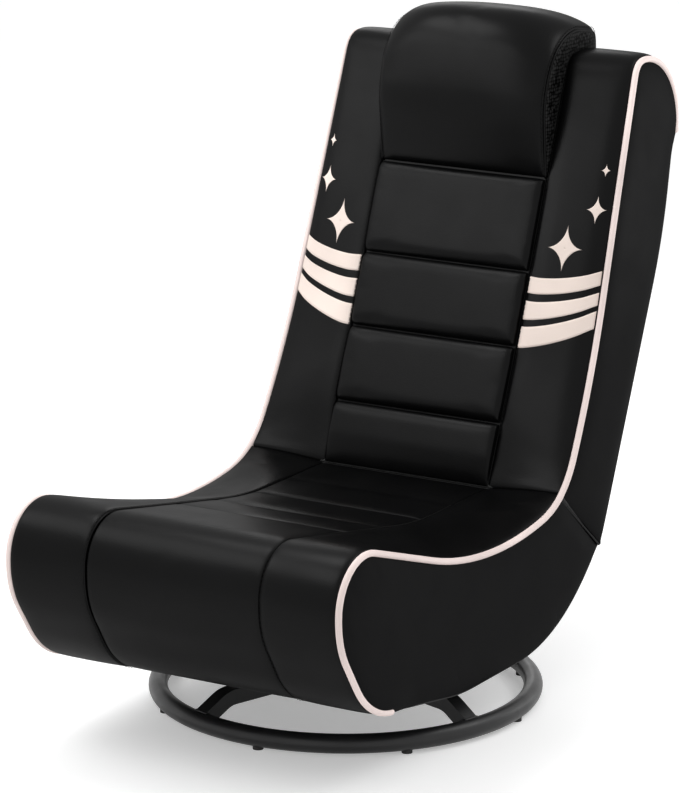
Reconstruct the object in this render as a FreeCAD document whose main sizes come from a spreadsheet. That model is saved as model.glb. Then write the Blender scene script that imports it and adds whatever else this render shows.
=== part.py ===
import FreeCAD, Part
import math
import os

import Sketcher
from FreeCAD import Placement, Rotation, Vector

doc = FreeCAD.newDocument("floor_chair")
sheet = doc.addObject("Spreadsheet::Sheet", "Sizes")

# Driving dimensions in millimetres and degrees.
# Y runs from the swivel axis towards the back of the chair, Z upwards from the floor.
DIMENSIONS = {
    # where the swivel axis stands in the frame of the whole chair
    "swivel_y": -38.7,
    # upholstery widths, thicknesses and gaps
    "half_width": 241,
    "panel_half": 126,
    "back_taper": 0.033,
    "cover": 6,
    "seam_gap": 0.3,
    "fold_gap": 0.6,
    "piping_r": 4.3,
    "piping_start": 12,
    # fold line between seat and backrest, and the foot of the split behind it
    "crease_y": 155,
    "crease_z": 262,
    "split_y": 262,
    "split_z": 174,
    # corners of the seat's side outline and the radii that round them
    "dip_y": -43,
    "dip_edge_z": 222,
    "dip_centre_z": 262,
    "dip_radius": 600,
    "roll_y": -421,
    "roll_z": 335,
    "roll_centre_drop": 5,
    "roll_radius": 60,
    "front_break_z": 217,
    "front_radius": 110,
    "chin_y": -349,
    "chin_z": 109,
    "chin_radius": 120,
    "seat_piping_end_y": -290,
    "belly_front_y": -112,
    "belly_z": 70,
    "belly_front_radius": 400,
    "belly_rear_y": 150,
    "belly_rear_radius": 280,
    # corners of the backrest's side outline and the radii that round them
    "lumbar_edge_y": 240,
    "lumbar_centre_y": 222,
    "lumbar_z": 418,
    "lumbar_radius": 1200,
    "crown_front_edge_y": 379,
    "crown_front_centre_y": 368,
    "crown_front_z": 806,
    "crown_front_radius": 26,
    "crown_rear_y": 524,
    "crown_rear_z": 811,
    "crown_rear_radius": 95,
    "spine_y": 457,
    "spine_z": 553,
    "spine_radius": 600,
    "back_piping_end_z": 700,
    # sewn channels on the backrest and the headrest above them
    "channel_bottom_z": 266,
    "low_seam_z": 341,
    "middle_seam_z": 437,
    "high_seam_z": 532,
    "channel_rise": 9,
    "channel_seam": 3,
    "channel_run": 5,
    "channel_fold_run": 40,
    "channel_roll": 10,
    "headrest_bottom_z": 650,
    "headrest_top_z": 866,
    "headrest_top_front_y": 312,
    "headrest_top_radius": 46,
    "headrest_front_share": 0.44,
    "headrest_front_y": 286,
    "headrest_front_z": "=headrest_bottom_z + headrest_front_share * (headrest_top_z - headrest_bottom_z)",
    "headrest_front_radius": 120,
    "headrest_rear_drop": 20,
    "headrest_rear_y": 448,
    "headrest_rear_z": "=headrest_top_z - headrest_rear_drop",
    "headrest_rear_radius": 14,
    "headrest_full_half": 60,
    "headrest_end_sink": 10,
    # steel tube frame in the foam
    "tube_r": 11,
    "tube_wall": 1.5,
    "tube_bend": 60,
    "tube_ease": 0.5,
    "frame_front_y": -275,
    "frame_rear_y": 135,
    "rear_tube_y": 112,
    "rail_y": 70,
    "rail_wide": 25,
    "rail_high": 28,
    "rail_wall": 2,
    "weld_gap": 0.1,
    "back_frame_y": 205,
    "back_frame_z": 290,
    "back_frame_lean": 26,
    "back_frame_length": 515,
    "back_cross_at": 240,
    # fold hinge
    "lug_inset": 48,
    "lug_x": "=half_width - lug_inset",
    "lug_thick": 4,
    "lug_gap": 0.3,
    "lug_foot": 40,
    "eye_r": 7,
    "pin_r": 4,
    "pin_ease": 0.05,
    "pin_head_r": 6.8,
    "pin_head": 4,
    "hinge_notch_r": 10.5,
    "hinge_notch_ease": 2,
    # ring base
    "ring_radius": 247,
    "ring_tube_r": 12.7,
    "ring_wall": 2,
    "ring_height": 16,
    "foot_r": 7,
    "foot_high": 9,
    "foot_count": 8,
    "arm_side": 20,
    "arm_top": 50,
    "arm_inner": 34,
    "arm_knee": 204,
    "arm_bend": 40,
    "arm_phase": -18.5,
    "hub_half": 88,
    "hub_corner": 22,
    "hub_thick": 4,
    "hub_hole_r": 20,
    # swivel bearing
    "swivel_high": 18,
    "swivel_half": 84,
    "swivel_corner": 18,
    "swivel_plate": 2.5,
    "race_r": 50,
    "ridge_wide": 16,
    "ridge_high": 5,
    "ball_r": 4,
    "ball_ease": 0.06,
    "ball_count": 18,
    "cage_wide": 14,
    "cage_thick": 2,
    "rivet_r": 10,
    "rivet_bore_r": 6,
    "rivet_flange_r": 15,
    "rivet_flange": 2.2,
    "bolt_pitch": 140,
    "bolt_r": 3,
    "bolt_ease": 0.2,
    "bolt_head_r": 5.5,
    "bolt_head": 3.2,
    "nut_high": 5,
    "mount_half_x": 120,
    "mount_half_y": 95,
    "mount_thick": 4,
}
for row, (alias, value) in enumerate(DIMENSIONS.items(), start=1):
    sheet.set(f"A{row}", alias)
    sheet.set(f"B{row}", str(value))
    sheet.setAlias(f"B{row}", alias)
doc.recompute()


def size(alias):
    return float(sheet.get(alias))


def bind(thing, **expressions):
    """Ties properties of an object to cells of the sheet."""
    for path, expression in expressions.items():
        thing.setExpression(path.replace("__", "."), expression)


def cells(expression):
    """Turns words that name sizes into references to their cells."""
    words = []
    word = ""
    for letter in expression + " ":
        if letter.isalnum() or letter in "_.":
            word += letter
            continue
        words.append(f"Sizes.{word}" if word in DIMENSIONS else word)
        words.append(letter)
        word = ""
    return "".join(words).strip()


# Drawing helpers for pieces that are made from sketches


def new_body(label, turn="0"):
    """A body whose frame stands on the swivel axis, turned about it."""
    body = doc.addObject("PartDesign::Body", label)
    body.Label = label
    body.AllowCompound = True
    spot = cells("create(<<vector>>; 0; swivel_y; 0)")
    spin = f"create(<<rotation>>; create(<<vector>>; 0; 0; 1); {cells(turn)})"
    body.setExpression("Placement", f"create(<<placement>>; {spot}; {spin})")
    return body


def origin_feature(body, role):
    return next(feature for feature in body.Origin.OriginFeatures if feature.Role == role)


def new_sketch(body, role, lift="0"):
    sketch = body.newObject("Sketcher::SketchObject", f"{body.Name}_sketch")
    sketch.AttachmentSupport = [(origin_feature(body, role), "")]
    sketch.MapMode = "FlatFace"
    sketch.setExpression("AttachmentOffset.Base.z", cells(lift))
    return sketch


def value_of(sketch, expression):
    found = sketch.evalExpression(cells(expression))
    return float(getattr(found, "Value", found))


def put_point(sketch, geometry, end, x, y):
    """Holds one point of a sketch at a place given by two expressions."""
    for kind, axis, expression in (("DistanceX", -2, x), ("DistanceY", -1, y)):
        distance = value_of(sketch, expression)
        if distance == 0:
            sketch.addConstraint(Sketcher.Constraint("PointOnObject", geometry, end, axis))
            continue
        rule = Sketcher.Constraint(kind, -1, 1, geometry, end, distance)
        index = sketch.addConstraint(rule)
        sketch.setExpression(f"Constraints[{index}]", cells(expression))


def draw_polygon(sketch, corners):
    places = [Vector(value_of(sketch, x), value_of(sketch, y), 0) for x, y in corners]
    lines = []
    for start, finish in zip(places, places[1:] + places[:1]):
        lines.append(sketch.addGeometry(Part.LineSegment(start, finish), False))
    for line, following in zip(lines, lines[1:] + lines[:1]):
        sketch.addConstraint(Sketcher.Constraint("Coincident", line, 2, following, 1))
    for line, (x, y) in zip(lines, corners):
        put_point(sketch, line, 1, x, y)


def draw_circle(sketch, x, y, radius):
    centre = Vector(value_of(sketch, x), value_of(sketch, y), 0)
    reach = value_of(sketch, radius)
    ring = sketch.addGeometry(Part.Circle(centre, Vector(0, 0, 1), reach), False)
    put_point(sketch, ring, 3, x, y)
    index = sketch.addConstraint(Sketcher.Constraint("Radius", ring, reach))
    sketch.setExpression(f"Constraints[{index}]", cells(radius))


def draw_bent_path(sketch, corners, radius):
    """An open run of straight lines with a tangent bend of one radius at each inner corner."""
    places = [Vector(value_of(sketch, x), value_of(sketch, y), 0) for x, y in corners]
    reach = value_of(sketch, radius)
    bends = [bend_at(*places[i : i + 3], reach) for i in range(len(places) - 2)]
    starts = [places[0]] + [bend[2] for bend in bends]
    ends = [bend[0] for bend in bends] + [places[-1]]
    lines = [sketch.addGeometry(Part.LineSegment(a, b), False) for a, b in zip(starts, ends)]
    put_point(sketch, lines[0], 1, *corners[0])
    put_point(sketch, lines[-1], 2, *corners[-1])
    for number, (first, middle, last) in enumerate(bends):
        centre = Part.Arc(first, middle, last).toShape().Curve.Center
        counter = (middle - first).cross(last - middle).z > 0
        circle = Part.Circle(centre, Vector(0, 0, 1), reach)
        begin, finish = (first, last) if counter else (last, first)
        arc = Part.ArcOfCircle(circle, circle.parameter(begin), circle.parameter(finish))
        bend = sketch.addGeometry(arc, False)
        into, out = (1, 2) if counter else (2, 1)
        sketch.addConstraint(Sketcher.Constraint("Tangent", lines[number], 2, bend, into))
        sketch.addConstraint(Sketcher.Constraint("Tangent", bend, out, lines[number + 1], 1))
        index = sketch.addConstraint(Sketcher.Constraint("Radius", bend, reach))
        sketch.setExpression(f"Constraints[{index}]", cells(radius))
        corner = sketch.addGeometry(Part.Point(places[number + 1]), True)
        put_point(sketch, corner, 1, *corners[number + 1])
        sketch.addConstraint(Sketcher.Constraint("PointOnObject", corner, 1, lines[number]))
        sketch.addConstraint(Sketcher.Constraint("PointOnObject", corner, 1, lines[number + 1]))


def add_feature(body, kind, sketch, **settings):
    feature = body.newObject(f"PartDesign::{kind}", f"{body.Name}_{kind.lower()}")
    feature.Profile = sketch
    for name, setting in settings.items():
        setattr(feature, name, setting)
    return feature


def pad(body, sketch, length, **settings):
    feature = add_feature(body, "Pad", sketch, **settings)
    feature.setExpression("Length", cells(length))
    return feature


def cut_through(body, sketch):
    """Cuts a sketch through the whole body, both ways from its plane."""
    return add_feature(body, "Pocket", sketch, Type="ThroughAll", SideType="Symmetric")


def turn_round(body, kind, sketch):
    """Revolves a sketch about the upright axis, to add or to cut."""
    return add_feature(body, kind, sketch, ReferenceAxis=(sketch, ["V_Axis"]), Angle=360)


def repeat_round(body, features, count):
    pattern = body.newObject("PartDesign::PolarPattern", f"{body.Name}_pattern")
    pattern.Originals = features
    pattern.Axis = (origin_feature(body, "Z_Axis"), [""])
    pattern.Angle = 360
    pattern.setExpression("Occurrences", cells(count))
    body.Tip = pattern
    return pattern


def bend_at(before, corner, after, radius):
    """Start, middle and end of the arc that rounds a corner."""
    back = (before - corner).normalize()
    ahead = (after - corner).normalize()
    half = back.getAngle(ahead) / 2
    reach = radius / math.tan(half)
    middle = (back + ahead).normalize() * (radius / math.sin(half) - radius)
    return corner + back * reach, corner + middle, corner + ahead * reach


def mirrored(source, label):
    """The left-hand twin of a right-hand piece."""
    twin = doc.addObject("Part::Mirroring", label)
    twin.Label = label
    twin.Source = source
    twin.Normal = Vector(1, 0, 0)
    return twin


# Ring base: tube ring, four square arms, hub plate and glides

ring = new_body("base_ring")
ring_section = new_sketch(ring, "XZ_Plane")
draw_circle(ring_section, "ring_radius", "ring_height", "ring_tube_r")
draw_circle(ring_section, "ring_radius", "ring_height", "ring_tube_r - ring_wall")
turn_round(ring, "Revolution", ring_section)

ARM_COUNT = 4
for number in range(ARM_COUNT):
    arm = new_body(f"base_arm_{number + 1}", f"arm_phase + {number} * 360 / {ARM_COUNT}")
    arm_path = new_sketch(arm, "XZ_Plane")
    arm_middle = "arm_top - arm_side / 2"
    draw_bent_path(
        arm_path,
        [("arm_inner", arm_middle), ("arm_knee", arm_middle), ("ring_radius", "ring_height")],
        "arm_bend",
    )
    arm_section = new_sketch(arm, "YZ_Plane", "arm_inner")
    draw_polygon(
        arm_section,
        [
            ("-arm_side / 2", "arm_top - arm_side"),
            ("arm_side / 2", "arm_top - arm_side"),
            ("arm_side / 2", "arm_top"),
            ("-arm_side / 2", "arm_top"),
        ],
    )
    doc.recompute()
    pipe = add_feature(arm, "AdditivePipe", arm_section)
    pipe.Spine = (arm_path, [f"Edge{edge + 1}" for edge in range(len(arm_path.Shape.Edges))])
    cope = new_sketch(arm, "XZ_Plane")
    draw_circle(cope, "ring_radius", "ring_height", "ring_tube_r + weld_gap")
    turn_round(arm, "Groove", cope)


def plate_corners(half_x, half_y, corner):
    """A rectangle about the axis with its four corners cut off."""
    low_x, high_x = f"-{half_x}", half_x
    low_y, high_y = f"-{half_y}", half_y
    return [
        (f"{low_x} + {corner}", low_y),
        (f"{high_x} - {corner}", low_y),
        (high_x, f"{low_y} + {corner}"),
        (high_x, f"{high_y} - {corner}"),
        (f"{high_x} - {corner}", high_y),
        (f"{low_x} + {corner}", high_y),
        (low_x, f"{high_y} - {corner}"),
        (low_x, f"{low_y} + {corner}"),
    ]


BOLT_SPOTS = [(f"{a} * bolt_pitch / 2", f"{b} * bolt_pitch / 2") for a in (-1, 1) for b in (-1, 1)]


def drill_plate(body, centre_radius):
    """Cuts the hole on the axis and the four bolt holes."""
    holes = new_sketch(body, "XY_Plane")
    draw_circle(holes, "0", "0", centre_radius)
    for x, y in BOLT_SPOTS:
        draw_circle(holes, x, y, "bolt_r + bolt_ease")
    cut_through(body, holes)


hub = new_body("hub_plate", "arm_phase")
hub_outline = new_sketch(hub, "XY_Plane", "arm_top")
draw_polygon(hub_outline, plate_corners("hub_half", "hub_half", "hub_corner"))
pad(hub, hub_outline, "hub_thick")
drill_plate(hub, "hub_hole_r")

feet = new_body("ring_feet", "arm_phase + 180 / foot_count")
foot_outline = new_sketch(feet, "XY_Plane")
draw_circle(foot_outline, "ring_radius", "0", "foot_r")
foot = pad(feet, foot_outline, "foot_high")
foot_saddle = new_sketch(feet, "XZ_Plane")
draw_circle(foot_saddle, "ring_radius", "ring_height", "ring_tube_r + weld_gap")
saddle = turn_round(feet, "Groove", foot_saddle)
repeat_round(feet, [foot, saddle], "foot_count")

# Swivel bearing: two pressed plates with facing ball races, balls in a cage and a hollow rivet

SWIVEL_BASE = "arm_top + hub_thick"
SWIVEL_TOP = "arm_top + hub_thick + swivel_high"
BALL_LEVEL = "arm_top + hub_thick + swivel_high / 2"


def swivel_plate(label, turn, face, side):
    """A plate whose outer face lies at one level and whose race ridge points to the balls."""
    body = new_body(label, turn)
    outline = new_sketch(body, "XY_Plane", face)
    draw_polygon(outline, plate_corners("swivel_half", "swivel_half", "swivel_corner"))
    pad(body, outline, "swivel_plate", Reversed=side < 0)
    ridge = new_sketch(body, "XZ_Plane")
    inner = "race_r - ridge_wide / 2"
    outer = "race_r + ridge_wide / 2"
    foot_level = f"{face} + {side} * swivel_plate"
    crest_level = f"{face} + {side} * (swivel_plate + ridge_high)"
    draw_polygon(
        ridge,
        [(inner, foot_level), (outer, foot_level), (outer, crest_level), (inner, crest_level)],
    )
    turn_round(body, "Revolution", ridge)
    race = new_sketch(body, "XZ_Plane")
    draw_circle(race, "race_r", BALL_LEVEL, "ball_r + ball_ease")
    turn_round(body, "Groove", race)
    drill_plate(body, "rivet_r + pin_ease")
    return body


lower_plate = swivel_plate("swivel_lower_plate", "arm_phase", SWIVEL_BASE, 1)
upper_plate = swivel_plate("swivel_upper_plate", "0", SWIVEL_TOP, -1)

balls = []
for number in range(int(size("ball_count"))):
    ball = doc.addObject("Part::Sphere", f"ball_{number + 1}")
    bind(ball, Radius=cells("ball_r"), Placement__Base__z=cells(BALL_LEVEL))
    at = cells(f"{number} * 360 / ball_count")
    bind(ball, Placement__Base__x=cells("race_r") + f" * cos({at})")
    bind(ball, Placement__Base__y=cells("race_r") + f" * sin({at})")
    balls.append(ball)
bearing_balls = doc.addObject("Part::Compound", "bearing_balls")
bearing_balls.Label = "bearing_balls"
bearing_balls.Links = balls
bind(bearing_balls, Placement__Base__y=cells("swivel_y"))

cage = new_body("ball_cage")
cage_outline = new_sketch(cage, "XY_Plane", f"{BALL_LEVEL} - cage_thick / 2")
draw_circle(cage_outline, "0", "0", "race_r + cage_wide / 2")
draw_circle(cage_outline, "0", "0", "race_r - cage_wide / 2")
pad(cage, cage_outline, "cage_thick")
ball_pocket = new_sketch(cage, "XY_Plane")
draw_circle(ball_pocket, "race_r", "0", "ball_r + ball_ease")
repeat_round(cage, [cut_through(cage, ball_pocket)], "ball_count")

rivet = new_body("swivel_rivet")
rivet_profile = new_sketch(rivet, "XZ_Plane")
rivet_foot = f"{SWIVEL_BASE} - weld_gap"
rivet_head = f"{SWIVEL_TOP} + weld_gap"
draw_polygon(
    rivet_profile,
    [
        ("rivet_bore_r", f"{rivet_foot} - rivet_flange"),
        ("rivet_flange_r", f"{rivet_foot} - rivet_flange"),
        ("rivet_flange_r", rivet_foot),
        ("rivet_r", rivet_foot),
        ("rivet_r", rivet_head),
        ("rivet_flange_r", rivet_head),
        ("rivet_flange_r", f"{rivet_head} + rivet_flange"),
        ("rivet_bore_r", f"{rivet_head} + rivet_flange"),
    ],
)
turn_round(rivet, "Revolution", rivet_profile)


def four_bolts(label, turn, head_level, head_side, length):
    """Four bolts with heads on one level and shanks that run the other way."""
    body = new_body(label, turn)
    heads = new_sketch(body, "XY_Plane", head_level)
    shanks = new_sketch(body, "XY_Plane", head_level)
    for x, y in BOLT_SPOTS:
        draw_circle(heads, x, y, "bolt_head_r")
        draw_circle(shanks, x, y, "bolt_r")
    pad(body, heads, "bolt_head", Reversed=head_side < 0)
    pad(body, shanks, length, Reversed=head_side > 0)
    return body


def four_nuts(label, turn, level, side):
    """Four nuts on the bolt ends, standing on one level."""
    body = new_body(label, turn)
    outline = new_sketch(body, "XY_Plane", level)
    for x, y in BOLT_SPOTS:
        draw_circle(outline, x, y, "bolt_head_r")
        draw_circle(outline, x, y, "bolt_r + pin_ease")
    pad(body, outline, "nut_high", Reversed=side < 0)
    return body


BOLT_GRIP = "hub_thick + swivel_plate"
lower_bolts = four_bolts(
    "lower_bolts", "arm_phase", f"{SWIVEL_BASE} + swivel_plate", 1, f"{BOLT_GRIP} + nut_high"
)
lower_nuts = four_nuts("lower_nuts", "arm_phase", "arm_top", -1)
MOUNT_TOP = f"{SWIVEL_TOP} + mount_thick"
upper_bolts = four_bolts(
    "upper_bolts",
    "0",
    f"{SWIVEL_TOP} - swivel_plate",
    -1,
    "swivel_plate + mount_thick + rail_wall + nut_high",
)
upper_nuts = four_nuts("upper_nuts", "0", f"{MOUNT_TOP} + rail_wall", 1)

# Seat frame: mount plate, two cross rails, bent tube and rear tube

mount = new_body("mount_plate")
mount_outline = new_sketch(mount, "XY_Plane", SWIVEL_TOP)
draw_polygon(mount_outline, plate_corners("mount_half_x", "mount_half_y", "swivel_corner"))
pad(mount, mount_outline, "mount_thick")
drill_plate(mount, "hub_hole_r")

RAIL_HALF = "lug_x - weld_gap"
RAIL_TOP = f"{MOUNT_TOP} + rail_high"
FRAME_LEVEL = f"{RAIL_TOP} + tube_r + weld_gap"
SEAT_TUBE_X = "lug_x - weld_gap - tube_r"


def box_corners(low_x, high_x, low_y, high_y):
    return [(low_x, low_y), (high_x, low_y), (high_x, high_y), (low_x, high_y)]


def seat_rail(label, side):
    """A rectangular steel tube across the seat, drilled for the mount bolts."""
    body = new_body(label)
    section = new_sketch(body, "YZ_Plane")
    middle = f"{side} * rail_y"
    for inset in ("0", "rail_wall"):
        draw_polygon(
            section,
            box_corners(
                f"{middle} - rail_wide / 2 + {inset}",
                f"{middle} + rail_wide / 2 - {inset}",
                f"{MOUNT_TOP} + {inset}",
                f"{RAIL_TOP} - {inset}",
            ),
        )
    pad(body, section, f"2 * ({RAIL_HALF})", SideType="Symmetric")
    holes = new_sketch(body, "XY_Plane")
    for hand in (-1, 1):
        draw_circle(holes, f"{hand} * bolt_pitch / 2", middle, "bolt_head_r + bolt_ease")
    cut_through(body, holes)
    return body


front_rail = seat_rail("seat_rail_front", -1)
rear_rail = seat_rail("seat_rail_rear", 1)

seat_tube = new_body("seat_frame_tube")
seat_path = new_sketch(seat_tube, "XY_Plane", FRAME_LEVEL)
draw_bent_path(
    seat_path,
    [
        (SEAT_TUBE_X, "frame_rear_y"),
        (SEAT_TUBE_X, "frame_front_y"),
        (f"-({SEAT_TUBE_X})", "frame_front_y"),
        (f"-({SEAT_TUBE_X})", "frame_rear_y"),
    ],
    "tube_bend",
)
seat_tube_section = new_sketch(seat_tube, "XZ_Plane", "-frame_rear_y")
draw_circle(seat_tube_section, SEAT_TUBE_X, FRAME_LEVEL, "tube_r")
draw_circle(seat_tube_section, SEAT_TUBE_X, FRAME_LEVEL, "tube_r - tube_wall")
doc.recompute()
seat_pipe = add_feature(seat_tube, "AdditivePipe", seat_tube_section)
seat_pipe.Spine = (seat_path, [f"Edge{n + 1}" for n in range(len(seat_path.Shape.Edges))])

rear_tube = new_body("seat_rear_tube")
rear_tube_section = new_sketch(rear_tube, "YZ_Plane")
draw_circle(rear_tube_section, "rear_tube_y", FRAME_LEVEL, "tube_r")
draw_circle(rear_tube_section, "rear_tube_y", FRAME_LEVEL, "tube_r - tube_wall")
pad(rear_tube, rear_tube_section, f"2 * ({SEAT_TUBE_X} - tube_r - weld_gap)", SideType="Symmetric")

# Backrest frame: bent tube and cross tube in one leaning plane

LEAN_SIN = "sin(back_frame_lean)"
LEAN_COS = "cos(back_frame_lean)"
BACK_LUG_X = "lug_x + lug_thick + lug_gap"
BACK_TUBE_X = f"{BACK_LUG_X} - weld_gap - tube_r"


def leaning_body(label):
    """A body whose XY plane is the plane of the backrest frame, with Y up the backrest."""
    body = doc.addObject("PartDesign::Body", label)
    body.Label = label
    spot = cells("create(<<vector>>; 0; swivel_y + back_frame_y; back_frame_z)")
    lean = cells("create(<<rotation>>; create(<<vector>>; 1; 0; 0); 90 - back_frame_lean)")
    body.setExpression("Placement", f"create(<<placement>>; {spot}; {lean})")
    return body


back_tube = leaning_body("back_frame_tube")
back_path = new_sketch(back_tube, "XY_Plane")
draw_bent_path(
    back_path,
    [
        (BACK_TUBE_X, "0"),
        (BACK_TUBE_X, "back_frame_length"),
        (f"-({BACK_TUBE_X})", "back_frame_length"),
        (f"-({BACK_TUBE_X})", "0"),
    ],
    "tube_bend",
)
back_tube_section = new_sketch(back_tube, "XZ_Plane")
draw_circle(back_tube_section, BACK_TUBE_X, "0", "tube_r")
draw_circle(back_tube_section, BACK_TUBE_X, "0", "tube_r - tube_wall")
doc.recompute()
back_pipe = add_feature(back_tube, "AdditivePipe", back_tube_section)
back_pipe.Spine = (back_path, [f"Edge{n + 1}" for n in range(len(back_path.Shape.Edges))])

cross_tube = leaning_body("back_cross_tube")
cross_section = new_sketch(cross_tube, "YZ_Plane")
draw_circle(cross_section, "back_cross_at", "0", "tube_r")
draw_circle(cross_section, "back_cross_at", "0", "tube_r - tube_wall")
pad(cross_tube, cross_section, f"2 * ({BACK_TUBE_X} - tube_r - weld_gap)", SideType="Symmetric")

# Fold hinge: one steel plate on each frame, pivot pins and nuts


def hinge_plate(label, inner_face, corners):
    """A flat plate with an eye at the fold line."""
    body = new_body(label)
    outline = new_sketch(body, "YZ_Plane", inner_face)
    draw_polygon(outline, corners)
    pad(body, outline, "lug_thick")
    eye = new_sketch(body, "YZ_Plane", inner_face)
    draw_circle(eye, "crease_y", "crease_z", "eye_r")
    pad(body, eye, "lug_thick")
    hole = new_sketch(body, "YZ_Plane")
    draw_circle(hole, "crease_y", "crease_z", "pin_r + pin_ease")
    cut_through(body, hole)
    return body


seat_plate = hinge_plate(
    "seat_hinge_plate_right",
    "lug_x",
    [
        ("crease_y - eye_r", "crease_z"),
        ("crease_y + eye_r", "crease_z"),
        ("frame_rear_y", f"{FRAME_LEVEL}"),
        ("frame_rear_y", f"{FRAME_LEVEL} - tube_r"),
        ("frame_rear_y - lug_foot", f"{FRAME_LEVEL} - tube_r"),
        ("frame_rear_y - lug_foot", f"{FRAME_LEVEL} + tube_r"),
    ],
)
back_plate = hinge_plate(
    "back_hinge_plate_right",
    BACK_LUG_X,
    [
        (f"crease_y - eye_r * {LEAN_COS}", f"crease_z + eye_r * {LEAN_SIN}"),
        (f"crease_y + eye_r * {LEAN_COS}", f"crease_z - eye_r * {LEAN_SIN}"),
        (
            f"back_frame_y + tube_r * {LEAN_COS}",
            f"back_frame_z - tube_r * {LEAN_SIN}",
        ),
        (
            f"back_frame_y + tube_r * {LEAN_COS} + lug_foot * {LEAN_SIN}",
            f"back_frame_z - tube_r * {LEAN_SIN} + lug_foot * {LEAN_COS}",
        ),
        (
            f"back_frame_y - tube_r * {LEAN_COS} + lug_foot * {LEAN_SIN}",
            f"back_frame_z + tube_r * {LEAN_SIN} + lug_foot * {LEAN_COS}",
        ),
    ],
)

NUT_FACE = f"{BACK_LUG_X} + lug_thick + lug_gap"
pin = new_body("hinge_pin_right")
pin_head = new_sketch(pin, "YZ_Plane", "lug_x - weld_gap")
draw_circle(pin_head, "crease_y", "crease_z", "pin_head_r")
pad(pin, pin_head, "pin_head", Reversed=True)
pin_shank = new_sketch(pin, "YZ_Plane", "lug_x - weld_gap")
draw_circle(pin_shank, "crease_y", "crease_z", "pin_r")
pad(pin, pin_shank, f"{NUT_FACE} + pin_head - lug_x + weld_gap")

nut = new_body("hinge_nut_right")
nut_outline = new_sketch(nut, "YZ_Plane", NUT_FACE)
draw_circle(nut_outline, "crease_y", "crease_z", "pin_head_r")
draw_circle(nut_outline, "crease_y", "crease_z", "pin_r + pin_ease")
pad(nut, nut_outline, "pin_head")

# Side outlines of the cushions: corners in the YZ plane, each with the radius that rounds it

CREASE = (size("crease_y"), size("crease_z"))
SPLIT = (size("split_y"), size("split_z"))
PANEL = size("panel_half")
COVER = size("cover")
GAP = size("seam_gap")
INSET = COVER + GAP
FULL_SIDE = 0.98
SIDE = size("half_width") - INSET


def seat_corners(edge):
    """The seat's outline at its piped edge, or in its fuller centre panel."""
    drop = 0 if edge else size("roll_centre_drop")
    dip = size("dip_edge_z") if edge else size("dip_centre_z")
    front = size("roll_y") + drop
    return [
        (*CREASE, 0),
        (size("dip_y"), dip, size("dip_radius")),
        (front, size("roll_z") - drop, size("roll_radius")),
        (front, size("front_break_z"), size("front_radius")),
        (size("chin_y"), size("chin_z"), size("chin_radius")),
        (size("belly_front_y"), size("belly_z"), size("belly_front_radius")),
        (size("belly_rear_y"), size("belly_z"), size("belly_rear_radius")),
        (*SPLIT, 0),
    ]


def back_corners(edge):
    """The backrest's outline at its piped edge, or in its fuller centre panel."""
    along = Vector(0, SPLIT[0] - CREASE[0], SPLIT[1] - CREASE[1]).normalize()
    lift = Vector(0, -along.z, along.y) * size("fold_gap")
    lumbar = size("lumbar_edge_y") if edge else size("lumbar_centre_y")
    crown = size("crown_front_edge_y") if edge else size("crown_front_centre_y")
    return [
        (CREASE[0] + lift.y, CREASE[1] + lift.z, 0),
        (lumbar, size("lumbar_z"), size("lumbar_radius")),
        (crown, size("crown_front_z"), size("crown_front_radius")),
        (size("crown_rear_y"), size("crown_rear_z"), size("crown_rear_radius")),
        (size("spine_y"), size("spine_z"), size("spine_radius")),
        (SPLIT[0] + lift.y, SPLIT[1] + lift.z, 0),
    ]


def headrest_corners(end):
    """The headrest's outline in its full middle or at an end, running on into the backrest."""
    sink = size("headrest_end_sink") if end else 0
    return [
        (back_face_y(size("headrest_bottom_z")), size("headrest_bottom_z"), 0),
        (size("headrest_front_y") + sink, size("headrest_front_z"), size("headrest_front_radius")),
        (size("headrest_top_front_y") + sink, size("headrest_top_z") - sink, size("headrest_top_radius")),
        (size("headrest_rear_y"), size("headrest_rear_z") - sink, size("headrest_rear_radius")),
        (size("headrest_rear_y"), size("spine_z"), 0),
    ]


def back_face_y(level):
    """Where the centre panel's front face stands at a height."""
    corners = back_corners(False)
    for low, high in zip(corners, corners[1:3]):
        if level <= high[1]:
            break
    share = (level - low[1]) / (high[1] - low[1])
    return low[0] + share * (high[0] - low[0])


def turning(before, corner, after):
    """Positive where an outline turns left, negative where it turns right."""
    return (corner[0] - before[0]) * (after[1] - corner[1]) - (corner[1] - before[1]) * (
        after[0] - corner[0]
    )


def neighbours(corners):
    return zip(corners[-1:] + corners[:-1], corners, corners[1:] + corners[:1])


def inset(corners, depth):
    """The same outline with every side moved inwards, and its radii to suit."""
    hand = 1 if sum(a[0] * b[1] - b[0] * a[1] for a, b, _ in neighbours(corners)) > 0 else -1
    moved = []
    for before, corner, after in neighbours(corners):
        back = Vector(corner[0] - before[0], corner[1] - before[1], 0).normalize()
        ahead = Vector(after[0] - corner[0], after[1] - corner[1], 0).normalize()
        inward_back = Vector(-back.y, back.x, 0) * hand
        inward_ahead = Vector(-ahead.y, ahead.x, 0) * hand
        mitre = (inward_back + inward_ahead) * (depth / (1 + inward_back.dot(inward_ahead)))
        convex = turning(before, corner, after) * hand > 0
        radius = corner[2] - depth if convex else corner[2] + depth
        moved.append((corner[0] + mitre.x, corner[1] + mitre.y, radius if corner[2] else 0))
    return moved


def flat(level):
    """An upright plane at one distance from the middle of the chair."""
    return lambda y, z: Vector(level, y, z)


def tapered(level):
    """The backrest's side plane, which leans in towards the top."""
    return lambda y, z: Vector(level - size("back_taper") * (z - CREASE[1]), y, z)


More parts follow.
